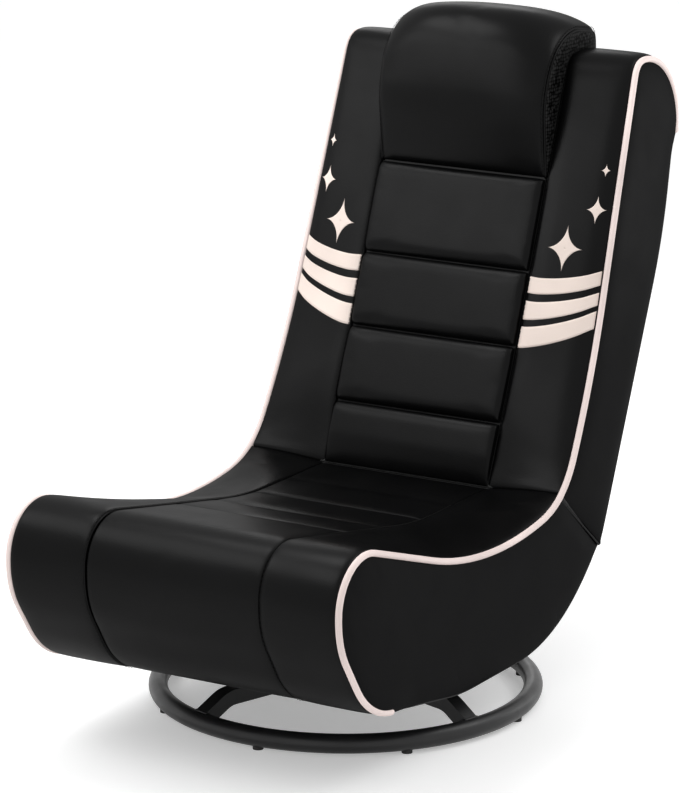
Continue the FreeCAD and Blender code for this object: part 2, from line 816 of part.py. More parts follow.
def fitted(corners):
    """The same outline with each radius held to the length of the sides that it rounds."""
    sides = [math.dist(a[:2], b[:2]) for a, b in zip(corners, corners[1:] + corners[:1])]
    reaches = []
    for before, corner, after in neighbours(corners):
        back = Vector(before[0] - corner[0], before[1] - corner[1], 0)
        ahead = Vector(after[0] - corner[0], after[1] - corner[1], 0)
        reaches.append(corner[2] / math.tan(back.getAngle(ahead) / 2))
    held = []
    for number, (y, z, radius) in enumerate(corners):
        share = 1
        for side, other in ((number - 1, number - 1), (number, (number + 1) % len(corners))):
            wanted = reaches[number] + reaches[other]
            if wanted > FULL_SIDE * sides[side]:
                share = min(share, FULL_SIDE * sides[side] / wanted)
        held.append((y, z, radius * share))
    return held


def outline_edges(corners, place, closed=True):
    """Straight lines and tangent arcs along an outline."""
    corners = fitted(corners)
    rows = list(neighbours(corners)) if closed else list(zip(corners, corners[1:], corners[2:]))
    edges = []
    at = place(*corners[0][:2])
    for before, corner, after in rows[1:] if closed else rows:
        points = [place(*spot[:2]) for spot in (before, corner, after)]
        if corner[2]:
            first, middle, last = bend_at(*points, corner[2])
            edges.append(Part.makeLine(at, first))
            edges.append(Part.Arc(first, middle, last).toShape())
            at = last
        else:
            edges.append(Part.makeLine(at, points[1]))
            at = points[1]
    edges.append(Part.makeLine(at, place(*(corners[0] if closed else corners[-1])[:2])))
    return edges


def outline_wire(corners, place):
    return Part.Wire(outline_edges(corners, place))


def block(corners, low, high):
    """An outline drawn out across the chair between two distances from its middle."""
    face = Part.Face(outline_wire(corners, flat(low)))
    return face.extrude(Vector(high - low, 0, 0))


def loft(sections):
    return Part.makeLoft([outline_wire(*section) for section in sections], True, True)


def soft_piece(label, shape):
    """A sewn or moulded piece, set on the swivel axis."""
    piece = doc.addObject("Part::Feature", label)
    piece.Label = label
    piece.Shape = shape
    piece.Placement = Placement(Vector(0, size("swivel_y"), 0), Rotation())
    return piece


def half_space(low, high, side):
    """A large block on one side of the line through two points of the YZ plane."""
    reach = 4 * size("half_width")
    along = Vector(0, high[0] - low[0], high[1] - low[1]).normalize()
    normal = Vector(0, -along.z, along.y) * side
    start = Vector(-reach, low[0], low[1]) - along * reach
    far = start + along * (3 * reach)
    ends = [start, far, far + normal * reach, start + normal * reach, start]
    return Part.Face(Part.makePolygon(ends)).extrude(Vector(2 * reach, 0, 0))


def rod(points, radius, bend):
    """A round bar along a run of points with rounded corners."""
    corners = [Vector(*point) for point in points]
    edges = []
    at = corners[0]
    for before, corner, after in zip(corners, corners[1:], corners[2:]):
        first, middle, last = bend_at(before, corner, after, bend)
        edges += [Part.makeLine(at, first), Part.Arc(first, middle, last).toShape()]
        at = last
    edges.append(Part.makeLine(at, corners[-1]))
    heading = corners[1] - corners[0]
    end = Part.Wire(Part.makeCircle(radius, corners[0], heading))
    return Part.Wire(edges).makePipeShell([end], True, False)


# Spaces that the frames need in the foam and covers

CHANNEL = size("tube_r") + size("tube_ease")
EASE = size("tube_ease")
MOUNT_LEVEL = size("arm_top") + size("hub_thick") + size("swivel_high")
RAIL_LOW = MOUNT_LEVEL + size("mount_thick")
RAIL_HIGH = RAIL_LOW + size("rail_high")
TUBE_LEVEL = RAIL_HIGH + size("tube_r") + size("weld_gap")
TUBE_X = size("lug_x") - size("weld_gap") - size("tube_r")
UPPER_TUBE_X = TUBE_X + size("lug_thick") + size("lug_gap")


def bar(low, high):
    """A block between two opposite corners."""
    return Part.makeBox(*[b - a for a, b in zip(low, high)], Vector(*low))


def hinge_space():
    """Round notches in which the hinge eyes, pin heads and nuts turn."""
    low = size("lug_x") - size("pin_head") - size("hinge_notch_ease")
    wide = 2 * (size("lug_thick") + size("lug_gap") + size("pin_head") + size("hinge_notch_ease"))
    notches = []
    for start in (low, -low - wide):
        spot = Vector(start, *CREASE)
        notches.append(Part.makeCylinder(size("hinge_notch_r"), wide, spot, Vector(1, 0, 0)))
    return notches


def at_home(shape):
    """A frame piece's shape, moved back onto the swivel axis."""
    return shape.translated(Vector(0, -size("swivel_y"), 0))


doc.recompute()
left_seat_plate = mirrored(seat_plate, "seat_hinge_plate_left")
left_back_plate = mirrored(back_plate, "back_hinge_plate_left")
left_pin = mirrored(pin, "hinge_pin_left")
left_nut = mirrored(nut, "hinge_nut_left")
doc.recompute()

front_y = size("frame_front_y")
rear_y = size("frame_rear_y")
seat_space = hinge_space() + [at_home(seat_plate.Shape), at_home(left_seat_plate.Shape)]
seat_space.append(
    rod(
        [
            (TUBE_X, rear_y + EASE, TUBE_LEVEL),
            (TUBE_X, front_y, TUBE_LEVEL),
            (-TUBE_X, front_y, TUBE_LEVEL),
            (-TUBE_X, rear_y + EASE, TUBE_LEVEL),
        ],
        CHANNEL,
        size("tube_bend"),
    )
)
cross_start = Vector(-TUBE_X, size("rear_tube_y"), TUBE_LEVEL)
seat_space.append(Part.makeCylinder(CHANNEL, 2 * TUBE_X, cross_start, Vector(1, 0, 0)))
for side in (-1, 1):
    middle = side * size("rail_y")
    half = size("rail_wide") / 2 + EASE
    end = size("lug_x") + EASE
    low = (-end, middle - half, MOUNT_LEVEL)
    seat_space.append(bar(low, (end, middle + half, RAIL_HIGH + EASE)))
mount_x = size("mount_half_x") + EASE
mount_y = size("mount_half_y") + EASE
seat_space.append(bar((-mount_x, -mount_y, 0), (mount_x, mount_y, RAIL_LOW + EASE)))

lean = math.radians(size("back_frame_lean"))


def up_frame(across, along):
    """A point in the plane of the backrest frame."""
    y = size("back_frame_y") + along * math.sin(lean)
    return (across, y, size("back_frame_z") + along * math.cos(lean))


back_space = hinge_space() + [at_home(back_plate.Shape), at_home(left_back_plate.Shape)]
back_space.append(
    rod(
        [
            up_frame(UPPER_TUBE_X, -EASE),
            up_frame(UPPER_TUBE_X, size("back_frame_length")),
            up_frame(-UPPER_TUBE_X, size("back_frame_length")),
            up_frame(-UPPER_TUBE_X, -EASE),
        ],
        CHANNEL,
        size("tube_bend"),
    )
)
cross_start = Vector(*up_frame(-UPPER_TUBE_X, size("back_cross_at")))
back_space.append(Part.makeCylinder(CHANNEL, 2 * UPPER_TUBE_X, cross_start, Vector(1, 0, 0)))

# Cushions: a foam block in padded covers, which meet at the centre panel's seams


def foam_block(corners, side_plane):
    edge = inset(corners(True), INSET)
    centre = inset(corners(False), INSET)
    return loft(
        [
            (edge, side_plane(-1)),
            (centre, flat(-PANEL)),
            (centre, flat(PANEL)),
            (edge, side_plane(1)),
        ]
    )


def seat_side(hand):
    return flat(hand * SIDE)


def back_side(hand):
    lean_in = tapered(SIDE)
    return lambda y, z: Vector(hand * lean_in(y, z).x, y, z)


def cover_sleeve(corners, side_plane):
    """The padded covers of one half of a cushion: its centre panel and its bolster."""
    edge = corners(True)
    centre = corners(False)
    edge_in = inset(edge, COVER)
    centre_in = inset(centre, COVER)
    middle = block(centre, -PANEL, PANEL).cut(block(centre_in, -PANEL - GAP, PANEL + GAP))
    seam = flat(PANEL + GAP)
    bolster = loft([(centre, seam), (edge, side_plane(1))])
    bolster = bolster.cut(loft([(centre_in, seam), (edge_in, side_plane(1))]))
    return middle, bolster


seat_foam = soft_piece("seat_foam", foam_block(seat_corners, seat_side).cut(seat_space))
back_foam = soft_piece("back_foam", foam_block(back_corners, back_side).cut(back_space))

seat_middle, seat_bolster = cover_sleeve(seat_corners, seat_side)
seat_seam = (size("seat_piping_end_y"), size("chin_z"))
above = half_space(seat_seam, CREASE, 1)
below = half_space((seat_seam[0], seat_seam[1] - GAP), (CREASE[0], CREASE[1] - GAP), -1)
soft_piece("seat_centre_panel", seat_middle.common(above))
bolster_right = soft_piece("seat_bolster_right", seat_bolster.common(above).cut(seat_space))
mirrored(bolster_right, "seat_bolster_left")


def both_sides(shape):
    return shape.fuse(shape.mirror(Vector(0, 0, 0), Vector(1, 0, 0)))


seat_lower = seat_middle.fuse(both_sides(seat_bolster.translated(Vector(-GAP, 0, 0))))
soft_piece("seat_underside", seat_lower.common(below).cut(seat_space).removeSplitter())

back_middle, back_bolster = cover_sleeve(back_corners, back_side)
back_start = back_corners(True)[0]
rear_seam = (size("crown_rear_y"), size("back_piping_end_z"))
ahead_of = half_space(back_start, rear_seam, 1)
behind = half_space((back_start[0] + GAP, back_start[1]), (rear_seam[0] + GAP, rear_seam[1]), -1)
soft_piece("back_centre_panel", back_middle.common(ahead_of))
back_bolster_right = soft_piece("back_bolster_right", back_bolster.common(ahead_of).cut(back_space))
mirrored(back_bolster_right, "back_bolster_left")
back_rear = back_middle.fuse(both_sides(back_bolster.translated(Vector(-GAP, 0, 0))))
soft_piece("back_rear_panel", back_rear.common(behind).cut(back_space).removeSplitter())


def side_panel(label, corners, place):
    """The upright padded panel that closes one side of a cushion."""
    face = Part.Face(outline_wire(inset(corners(True), INSET), place))
    panel = soft_piece(f"{label}_right", face.extrude(Vector(COVER, 0, 0)))
    mirrored(panel, f"{label}_left")


side_panel("seat_side", seat_corners, flat(SIDE + GAP))
side_panel("back_side", back_corners, tapered(SIDE + GAP))

# Piping: a round cord in the corner between cover and side panel


CORD_X = SIDE + GAP + size("piping_r")
SEAT_CORD_CORNERS = 5
BACK_CORD_CORNERS = 4


def piping(label, corners, passed, axis, level, place):
    """A cord that passes some corners of an outline and ends at a level of one axis beyond them."""
    radius = size("piping_r")
    outline = inset(corners(True), COVER - radius)
    run = outline[:passed]
    corner = run[-1]
    after = outline[passed]
    share = (level - corner[axis]) / (after[axis] - corner[axis])
    run.append(tuple(corner[n] + share * (after[n] - corner[n]) for n in (0, 1)) + (0,))
    heading = Vector(run[1][0] - run[0][0], run[1][1] - run[0][1], 0).normalize()
    start = heading * size("piping_start")
    run[0] = (run[0][0] + start.x, run[0][1] + start.y, 0)
    path = outline_edges(run, place, closed=False)
    normal = path[0].tangentAt(path[0].FirstParameter)
    end = Part.Wire(Part.makeCircle(radius, path[0].valueAt(path[0].FirstParameter), normal))
    cord = soft_piece(f"{label}_right", Part.Wire(path).makePipeShell([end], True, False))
    mirrored(cord, f"{label}_left")


seat_end = size("seat_piping_end_y")
back_end = size("back_piping_end_z")
piping("seat_piping", seat_corners, SEAT_CORD_CORNERS, 0, seat_end, flat(CORD_X))
piping("back_piping", back_corners, BACK_CORD_CORNERS, 1, back_end, tapered(CORD_X))

# Sewn channel pads up the middle of the backrest

SEAM_LEVELS = [
    size("channel_bottom_z"),
    size("low_seam_z"),
    size("middle_seam_z"),
    size("high_seam_z"),
    size("headrest_bottom_z"),
]
for number, (low_seam, high_seam) in enumerate(zip(SEAM_LEVELS, SEAM_LEVELS[1:]), start=1):
    low_z = low_seam + size("channel_seam") / 2
    high_z = high_seam - size("channel_seam") / 2
    low_end = Vector(-PANEL, back_face_y(low_z) - GAP, low_z)
    high_end = Vector(-PANEL, back_face_y(high_z) - GAP, high_z)
    along = (high_end - low_end).normalize()
    rise = Vector(0, -along.z, along.y) * size("channel_rise")
    low_run = size("channel_fold_run") if number == 1 else size("channel_run")
    lower = low_end + along * low_run + rise
    upper = high_end - along * size("channel_run") + rise
    roll = size("channel_roll")
    spots = [(low_end, 0), (lower, roll), (upper, roll), (high_end, 0)]
    pad_outline = [(spot.y, spot.z, radius) for spot, radius in spots]
    soft_piece(f"back_channel_pad_{number}", block(pad_outline, -PANEL, PANEL))

# Headrest: foam in a leather cover that is closed at each end by a mesh gusset



def headrest_block(depth, end):
    """The headrest at a depth below its surface: full in the middle and slimmer towards its ends."""
    full = size("headrest_full_half")
    middle = inset(headrest_corners(False), depth)
    slim = inset(headrest_corners(True), depth)
    return loft([(slim, flat(-end)), (middle, flat(-full)), (middle, flat(full)), (slim, flat(end))])


clear_of_back = block(inset(back_corners(False), -GAP), -2 * PANEL, 2 * PANEL)
head_end = PANEL - INSET
head_cover = headrest_block(0, PANEL).cut(headrest_block(COVER, PANEL))
soft_piece("headrest_cover", head_cover.cut(clear_of_back))
soft_piece("headrest_foam", headrest_block(INSET, head_end).cut(clear_of_back))
gusset = block(inset(headrest_corners(True), INSET), head_end + GAP, PANEL)
mesh = soft_piece("headrest_mesh_right", gusset.cut(clear_of_back))
mirrored(mesh, "headrest_mesh_left")

# Every piece is tested, then written to its own file

doc.recompute()
pieces = [
    thing
    for thing in doc.Objects
    if thing.isDerivedFrom("PartDesign::Body")
    or thing.TypeId in ("Part::Feature", "Part::Mirroring", "Part::Compound")
]
for thing in doc.Objects:
    if {"Invalid", "Error"} & set(thing.State):
        raise RuntimeError(f"{thing.Label} failed: {thing.State}")
os.makedirs("parts", exist_ok=True)
for piece in pieces:
    if piece.Shape.isNull() or not piece.Shape.isValid():
        raise RuntimeError(f"{piece.Label} has no sound shape")
    piece.Shape.exportStep(f"parts/{piece.Label}.step")
    print(piece.Label, len(piece.Shape.Solids), round(piece.Shape.Volume))
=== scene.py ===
import math

import bmesh
import bpy
import numpy as np
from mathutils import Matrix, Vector
from mathutils.bvhtree import BVHTree


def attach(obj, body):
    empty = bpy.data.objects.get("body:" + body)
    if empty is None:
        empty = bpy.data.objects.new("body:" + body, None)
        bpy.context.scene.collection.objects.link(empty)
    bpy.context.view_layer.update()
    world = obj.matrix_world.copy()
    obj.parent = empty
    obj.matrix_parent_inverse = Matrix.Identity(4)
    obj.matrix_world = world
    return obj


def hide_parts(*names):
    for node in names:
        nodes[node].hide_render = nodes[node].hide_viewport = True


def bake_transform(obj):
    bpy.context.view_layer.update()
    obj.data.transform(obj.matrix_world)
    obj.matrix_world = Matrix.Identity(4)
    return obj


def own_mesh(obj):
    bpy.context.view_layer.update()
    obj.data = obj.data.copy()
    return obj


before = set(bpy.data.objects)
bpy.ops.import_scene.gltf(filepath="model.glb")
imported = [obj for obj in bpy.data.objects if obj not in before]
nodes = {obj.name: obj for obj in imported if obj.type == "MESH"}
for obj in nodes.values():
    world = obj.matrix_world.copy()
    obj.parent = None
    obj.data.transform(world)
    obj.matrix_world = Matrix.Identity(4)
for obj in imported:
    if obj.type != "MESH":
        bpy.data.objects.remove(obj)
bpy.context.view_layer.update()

# Ring base: a hoop of round steel tube with four bent square arms and a hub plate on top of them.
# The steel is welded, then powder coated in satin black, which leaves a fine orange peel.


def new_finish(name, colour, roughness, metal=0.0):
    """A material that starts as one plain finish."""
    finish = bpy.data.materials.new(name)
    finish.use_nodes = True
    shader = finish.node_tree.nodes["Principled BSDF"]
    shader.inputs["Base Color"].default_value = (*colour, 1.0)
    shader.inputs["Roughness"].default_value = roughness
    shader.inputs["Metallic"].default_value = metal
    return finish


def set_shader(finish, **values):
    """Sets plain values on a finish's own sockets."""
    shader = finish.node_tree.nodes["Principled BSDF"]
    for name, value in values.items():
        shader.inputs[name.replace("_", " ")].default_value = value


def add_texture(finish, kind, stretch=(1.0, 1.0, 1.0), **inputs):
    """A texture node that is measured in metres on the piece itself."""
    tree = finish.node_tree
    place = tree.nodes.new("ShaderNodeTexCoord")
    mapping = tree.nodes.new("ShaderNodeMapping")
    mapping.inputs["Scale"].default_value = stretch
    texture = tree.nodes.new(kind)
    for name, value in inputs.items():
        texture.inputs[name].default_value = value
    tree.links.new(place.outputs["Object"], mapping.inputs["Vector"])
    tree.links.new(mapping.outputs["Vector"], texture.inputs["Vector"])
    return texture


def add_relief(finish, texture, output, strength, depth):
    """Raises the surface where a texture is bright, on top of any relief that is there already."""
    tree = finish.node_tree
    shader = tree.nodes["Principled BSDF"]
    normal = shader.inputs["Normal"]
    bump = tree.nodes.new("ShaderNodeBump")
    bump.inputs["Strength"].default_value = strength
    bump.inputs["Distance"].default_value = depth
    tree.links.new(texture.outputs[output], bump.inputs["Height"])
    if normal.is_linked:
        tree.links.new(normal.links[0].from_socket, bump.inputs["Normal"])
    tree.links.new(bump.outputs["Normal"], normal)
    tree.links.new(bump.outputs["Normal"], shader.inputs["Coat Normal"])


def vary(finish, texture, output, socket, low, high, span=(0.3, 0.7)):
    """Lets a texture move one socket between two values or colours, which it reaches at the span's ends."""
    tree = finish.node_tree
    target = tree.nodes["Principled BSDF"].inputs[socket]
    if isinstance(low, tuple):
        ramp = tree.nodes.new("ShaderNodeValToRGB")
        for stop, colour, place in zip(ramp.color_ramp.elements, (low, high), span):
            stop.color = (*colour, 1.0)
            stop.position = place
        tree.links.new(texture.outputs[output], ramp.inputs["Fac"])
        tree.links.new(ramp.outputs["Color"], target)
        return
    spread = tree.nodes.new("ShaderNodeMapRange")
    spread.inputs["From Min"].default_value = span[0]
    spread.inputs["From Max"].default_value = span[1]
    spread.inputs["To Min"].default_value = low
    spread.inputs["To Max"].default_value = high
    tree.links.new(texture.outputs[output], spread.inputs["Value"])
    tree.links.new(spread.outputs["Result"], target)


def dress(finish, *names):
    """Gives CAD nodes a finish."""
    for name in names:
        mesh = nodes[name].data
        mesh.materials.clear()
        mesh.materials.append(finish)


def powder_coat(name, colour):
    """Satin powder coat with orange peel and a slightly uneven gloss."""
    finish = new_finish(name, colour, 0.4)
    set_shader(finish, Specular_IOR_Level=0.4)
    peel = add_texture(finish, "ShaderNodeTexNoise", Scale=520.0, Detail=2.0)
    add_relief(finish, peel, "Fac", 0.16, 0.0004)
    cloud = add_texture(finish, "ShaderNodeTexNoise", Scale=24.0, Detail=4.0)
    vary(finish, cloud, "Fac", "Roughness", 0.34, 0.47)
    tone = add_texture(finish, "ShaderNodeTexNoise", Scale=9.0, Detail=3.0)
    vary(finish, tone, "Fac", "Base Color", colour, tuple(1.5 * part for part in colour))
    return finish


def new_piece(name, points, faces, finish):
    """A smooth mesh object of one finish."""
    mesh = bpy.data.meshes.new(name)
    mesh.from_pydata([tuple(map(float, point)) for point in points], [], faces)
    mesh.materials.append(finish)
    mesh.polygons.foreach_set("use_smooth", [True] * len(mesh.polygons))
    piece = bpy.data.objects.new(name, mesh)
    bpy.context.scene.collection.objects.link(piece)
    return piece


def unit(vectors):
    """Vectors that point the same way and are 1 long."""
    return vectors / np.maximum(np.linalg.norm(vectors, axis=-1, keepdims=True), 1e-12)


def tube_mesh(path, radii, sides, closed=False):
    """Points and faces of a round bead or cord along a path, with its own thickness at each point."""
    path = np.asarray(path, float)
    count = len(path)
    if closed:
        headings = unit(np.roll(path, -1, axis=0) - np.roll(path, 1, axis=0))
    else:
        headings = unit(np.gradient(path, axis=0))
    askew = (0.3, 0.5, 0.8)
    across = np.cross(headings[0], askew)
    turns = np.linspace(0, 2 * math.pi, sides, endpoint=False)
    rings = []
    for spot, heading, radius in zip(path, headings, radii):
        across = unit(across - heading * np.dot(across, heading))
        beside = np.cross(heading, across)
        rings.append(spot + radius * (np.outer(np.cos(turns), across) + np.outer(np.sin(turns), beside)))
    points = np.concatenate(rings)
    faces = []
    for row in range(count if closed else count - 1):
        after = (row + 1) % count
        for side in range(sides):
            beyond = (side + 1) % sides
            near = [row * sides + side, row * sides + beyond]
            far = [after * sides + beyond, after * sides + side]
            faces.append(near + far)
    if not closed:
        faces.append(list(range(sides))[::-1])
        faces.append([(count - 1) * sides + side for side in range(sides)])
    return points, faces


base_paint = powder_coat("base_paint", (0.0075, 0.0075, 0.008))
ARMS = ["base_arm_1", "base_arm_2", "base_arm_3", "base_arm_4"]
dress(base_paint, "base_ring", "hub_plate", *ARMS)

# Weld beads: where each arm meets the hoop, a row of small overlapping puddles runs round the joint.
# They are coated together with the base.

MM = 0.001
AXIS_Y = -38.7 * MM
RING_RADIUS = 247 * MM
RING_LEVEL = 16 * MM
RING_TUBE = 12.7 * MM
ARM_HALF = 10 * MM
ARM_KNEE = (204 * MM, 40 * MM)
ARM_TURN = -18.5
ARM_CORNERS = [(-1, -1), (1, -1), (1, 1), (-1, 1), (-1, -1)]
BEAD = 1.9 * MM
BEAD_STEPS = 18
BEAD_SIDES = 8
PUDDLE = 0.18


def soften(piece):
    """Rounds off a piece with one step of subdivision."""
    smooth = piece.modifiers.new("smooth", "SUBSURF")
    smooth.levels = 1
    smooth.render_levels = 1


arm_run = unit(np.array([RING_RADIUS - ARM_KNEE[0], RING_LEVEL - ARM_KNEE[1]]))
arm_rise = np.array([-arm_run[1], arm_run[0]])
for number in range(len(ARMS)):
    turn = math.radians(ARM_TURN + 90 * number)
    out = np.array([math.cos(turn), math.sin(turn), 0])
    beside = np.array([-math.sin(turn), math.cos(turn), 0])
    loop = []
    for (side, up), (next_side, next_up) in zip(ARM_CORNERS, ARM_CORNERS[1:]):
        for share in np.linspace(0, 1, BEAD_STEPS, endpoint=False):
            wide = (side + share * (next_side - side)) * ARM_HALF
            high = (up + share * (next_up - up)) * ARM_HALF
            reach = math.sqrt(RING_TUBE**2 - high**2)
            radial, level = (RING_RADIUS, RING_LEVEL) + arm_rise * high - arm_run * reach
            loop.append(out * radial + beside * wide + np.array([0, AXIS_Y, level]))
    puddles = BEAD * (1 + PUDDLE * np.cos(np.arange(len(loop)) * math.pi))
    round_bead = tube_mesh(loop, puddles, BEAD_SIDES, closed=True)
    bead = new_piece(f"weld_{number + 1}", *round_bead, base_paint)
    soften(bead)
    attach(bead, "base")

# Glides: eight soft rubber buttons under the hoop, pressed on at even steps.
# The rubber is matt and picks up a little dust.

glide_rubber = new_finish("glide_rubber", (0.016, 0.016, 0.016), 0.8)
dust = add_texture(glide_rubber, "ShaderNodeTexNoise", Scale=300.0, Detail=5.0)
vary(glide_rubber, dust, "Fac", "Base Color", (0.012, 0.012, 0.012), (0.03, 0.029, 0.028))
add_relief(glide_rubber, dust, "Fac", 0.2, 0.0003)
dress(glide_rubber, "ring_feet")

# Swivel: two zinc plated pressings with ball races between them, held by a hollow rivet.
# Four bolts fix the lower pressing to the hub and four the upper one to the seat.


def zinc_plate(name, colour, roughness):
    """Plated steel with fine drawn lines and cloudy passivation."""
    finish = new_finish(name, colour, roughness, metal=1.0)
    lines = add_texture(finish, "ShaderNodeTexNoise", (40.0, 900.0, 40.0), Scale=1.0, Detail=3.0)
    add_relief(finish, lines, "Fac", 0.08, 0.0002)
    cloud = add_texture(finish, "ShaderNodeTexNoise", Scale=60.0, Detail=4.0)
    vary(finish, cloud, "Fac", "Base Color", colour, tuple(0.75 * part for part in colour))
    vary(finish, cloud, "Fac", "Roughness", roughness, roughness + 0.15)
    return finish


zinc = zinc_plate("zinc", (0.56, 0.56, 0.55), 0.32)
dress(zinc, "swivel_lower_plate", "swivel_upper_plate", "swivel_rivet")
dress(zinc, "lower_bolts", "lower_nuts", "upper_bolts", "upper_nuts")
ball_steel = zinc_plate("ball_steel", (0.66, 0.66, 0.68), 0.08)
dress(ball_steel, "bearing_balls")
cage_nylon = new_finish("cage_nylon", (0.5, 0.47, 0.4), 0.5)
flow = add_texture(cage_nylon, "ShaderNodeTexNoise", Scale=80.0, Detail=3.0)
vary(cage_nylon, flow, "Fac", "Base Color", (0.46, 0.43, 0.36), (0.54, 0.51, 0.44))
add_relief(cage_nylon, flow, "Fac", 0.05, 0.0003)
dress(cage_nylon, "ball_cage")

# Frames: bent round tube in the seat and in the backrest, cross rails, a mount plate, and flat hinge
# plates on pins. Most of it lies inside the cushions, and all of it has a thin coat of black paint.

frame_paint = powder_coat("frame_paint", (0.02, 0.02, 0.021))
dress(frame_paint, "mount_plate", "seat_rail_front", "seat_rail_rear", "seat_frame_tube", "seat_rear_tube")
dress(frame_paint, "back_frame_tube", "back_cross_tube")
dress(frame_paint, "seat_hinge_plate_left", "seat_hinge_plate_right")
dress(frame_paint, "back_hinge_plate_left", "back_hinge_plate_right")
dress(frame_paint, "hinge_pin_left", "hinge_pin_right", "hinge_nut_left", "hinge_nut_right")

# Seat cover: panels of black synthetic leather, sewn together and filled with a block of foam.
# A quilted centre panel runs from the fold over the front roll, with a bolster on each side of it,
# an upright panel of the same leather at each side and a lining of black cloth underneath. The side
# panels' copy of the leather has less gloss and a lighter base: painted shade for the light there.


def leather(name, colour, gloss, coat):
    """Synthetic leather with an embossed pebble grain and soft creases."""
    finish = new_finish(name, colour, gloss)
    set_shader(finish, Specular_IOR_Level=0.0, Coat_Weight=coat, Coat_IOR=1.5)
    grain = add_texture(finish, "ShaderNodeTexVoronoi", Scale=620.0, Randomness=0.9)
    add_relief(finish, grain, "Distance", 0.16, 0.0005)
    fine = add_texture(finish, "ShaderNodeTexNoise", Scale=1500.0, Detail=2.0)
    add_relief(finish, fine, "Fac", 0.06, 0.0003)
    crease = add_texture(finish, "ShaderNodeTexNoise", Scale=16.0, Detail=5.0)
    add_relief(finish, crease, "Fac", 0.1, 0.003)
    vary(finish, crease, "Fac", "Coat Roughness", gloss - 0.04, gloss + 0.06)
    tone = add_texture(finish, "ShaderNodeTexNoise", Scale=5.0, Detail=3.0)
    vary(finish, tone, "Fac", "Base Color", colour, tuple(1.35 * part for part in colour))
    return finish


RUN_POINTS = 24


def rounded(corners):
    """Dense points along an outline whose corners carry radii, all in millimetres from the swivel axis.

    Each straight or arc has the same number of points, and adds 1 to the phase. Outlines with as many
    corners can so be set against each other."""
    spots = [np.array(corner[:2], float) for corner in corners]
    runs = []
    at = spots[0]
    share = np.linspace(0, 1, RUN_POINTS)[:, None]
    for before, corner, after, place in zip(spots, spots[1:], spots[2:], corners[1:]):
        back = unit(before - corner)
        ahead = unit(after - corner)
        half = math.acos(np.dot(back, ahead)) / 2
        first = corner + back * place[2] / math.tan(half)
        last = corner + ahead * place[2] / math.tan(half)
        centre = corner + unit(back + ahead) * place[2] / math.sin(half)
        turn = math.pi - 2 * half
        arc = np.sin((1 - share) * turn) * (first - centre) + np.sin(share * turn) * (last - centre)
        runs.append(at + share * (first - at))
        runs.append(centre + arc / math.sin(turn))
        at = last
    runs.append(at + share * (spots[-1] - at))
    phase = np.concatenate([number + share[:, 0] for number in range(len(runs))])
    return phase, np.concatenate(runs) * MM + (AXIS_Y, 0)


def lengths_along(points):
    """The length of a path up to each of its points."""
    steps = np.linalg.norm(np.diff(points, axis=0), axis=-1)
    return np.concatenate([[0], np.cumsum(steps)])


def at_phase(outline, phase):
    """Points at phases of an outline."""
    phases, points = outline
    return np.column_stack([np.interp(phase, phases, points[:, axis]) for axis in (0, 1)])


def at_share(outline, share):
    """Points at shares of an outline's length."""
    length = lengths_along(outline[1])
    phase = np.interp(share * length[-1], length, outline[0])
    return at_phase(outline, phase)


def rows_with_seams(low, high, step, seams, close, clear=0.7):
    """Even rows between two ends. Near a seam they give way to one on it and a close one on each side."""
    even = np.linspace(low, high, max(2, round((high - low) / step)) + 1)
    kept = [row for row in even if all(abs(row - seam) > clear * step for seam in seams)]
    beside = [seam + shift for seam in seams for shift in (-close, 0, close)]
    return np.array(sorted(row for row in kept + beside if low <= row <= high))


def across_cushion(centre, edge, columns, panel, half_at):
    """A grid of points, with rows along two outlines and columns from edge to edge over the centre."""
    columns = np.asarray(columns)
    share = np.clip(np.abs(columns) - 1, 0, 1)[None, :, None]
    flat = centre[:, None] * (1 - share) + edge[:, None] * share
    half = np.broadcast_to(half_at(flat[..., 1]), flat.shape[:2])
    x = panel * np.minimum(np.abs(columns), 1) + share[..., 0] * (half - panel)
    return np.dstack([np.sign(columns) * x, flat])


def between(first, last, layers):
    """A grid that runs from one row of points to another."""
    layers = np.asarray(layers)[None, :, None]
    return first[:, None] * (1 - layers) + last[:, None] * layers


def weld_grids(grids, per_metre=1e5):
    """Joins grids that share edges into one skin; gives its points, each grid's numbers and the faces.

    Points that agree to a hundredth of a millimetre become one."""
    flat = np.concatenate([grid.reshape(-1, 3) for grid in grids])
    keys = np.round(flat * per_metre).astype(np.int64)
    _, first, inverse = np.unique(keys, axis=0, return_index=True, return_inverse=True)
    inverse = inverse.ravel()
    numbers = []
    faces = []
    start = 0
    for grid in grids:
        size = grid.shape[0] * grid.shape[1]
        number = inverse[start : start + size].reshape(grid.shape[:2])
        start += size
        numbers.append(number)
        corners = [number[:-1, :-1], number[1:, :-1], number[1:, 1:], number[:-1, 1:]]
        for face in np.stack(corners, axis=-1).reshape(-1, 4).tolist():
            face = list(dict.fromkeys(face))
            if len(face) > 2:
                faces.append(face)
    return flat[first], numbers, faces


def face_outwards(mesh):
    """Turns the faces of a closed skin outwards."""
    shell = bmesh.new()
    shell.from_mesh(mesh)
    bmesh.ops.recalc_face_normals(shell, faces=shell.faces)
    shell.to_mesh(mesh)
    shell.free()


def fullness(faces, sewn, rounds=400, taut=20.0):
    """How far a cover stands off between its seams, from 0 to 1, like a film under light pressure."""
    pairs = np.array([pair for face in faces for pair in zip(face, face[1:] + face[:1])])
    near = np.concatenate([pairs[:, 0], pairs[:, 1]])
    far = np.concatenate([pairs[:, 1], pairs[:, 0]])
    count = np.maximum(np.bincount(near, minlength=len(sewn)), 1)
    height = np.zeros(len(sewn))
    for _ in range(rounds):
        around = np.bincount(near, weights=height[far], minlength=len(sewn)) / count
        height = np.where(sewn, 0, around + 1)
    return 1 - np.exp(-height / taut)


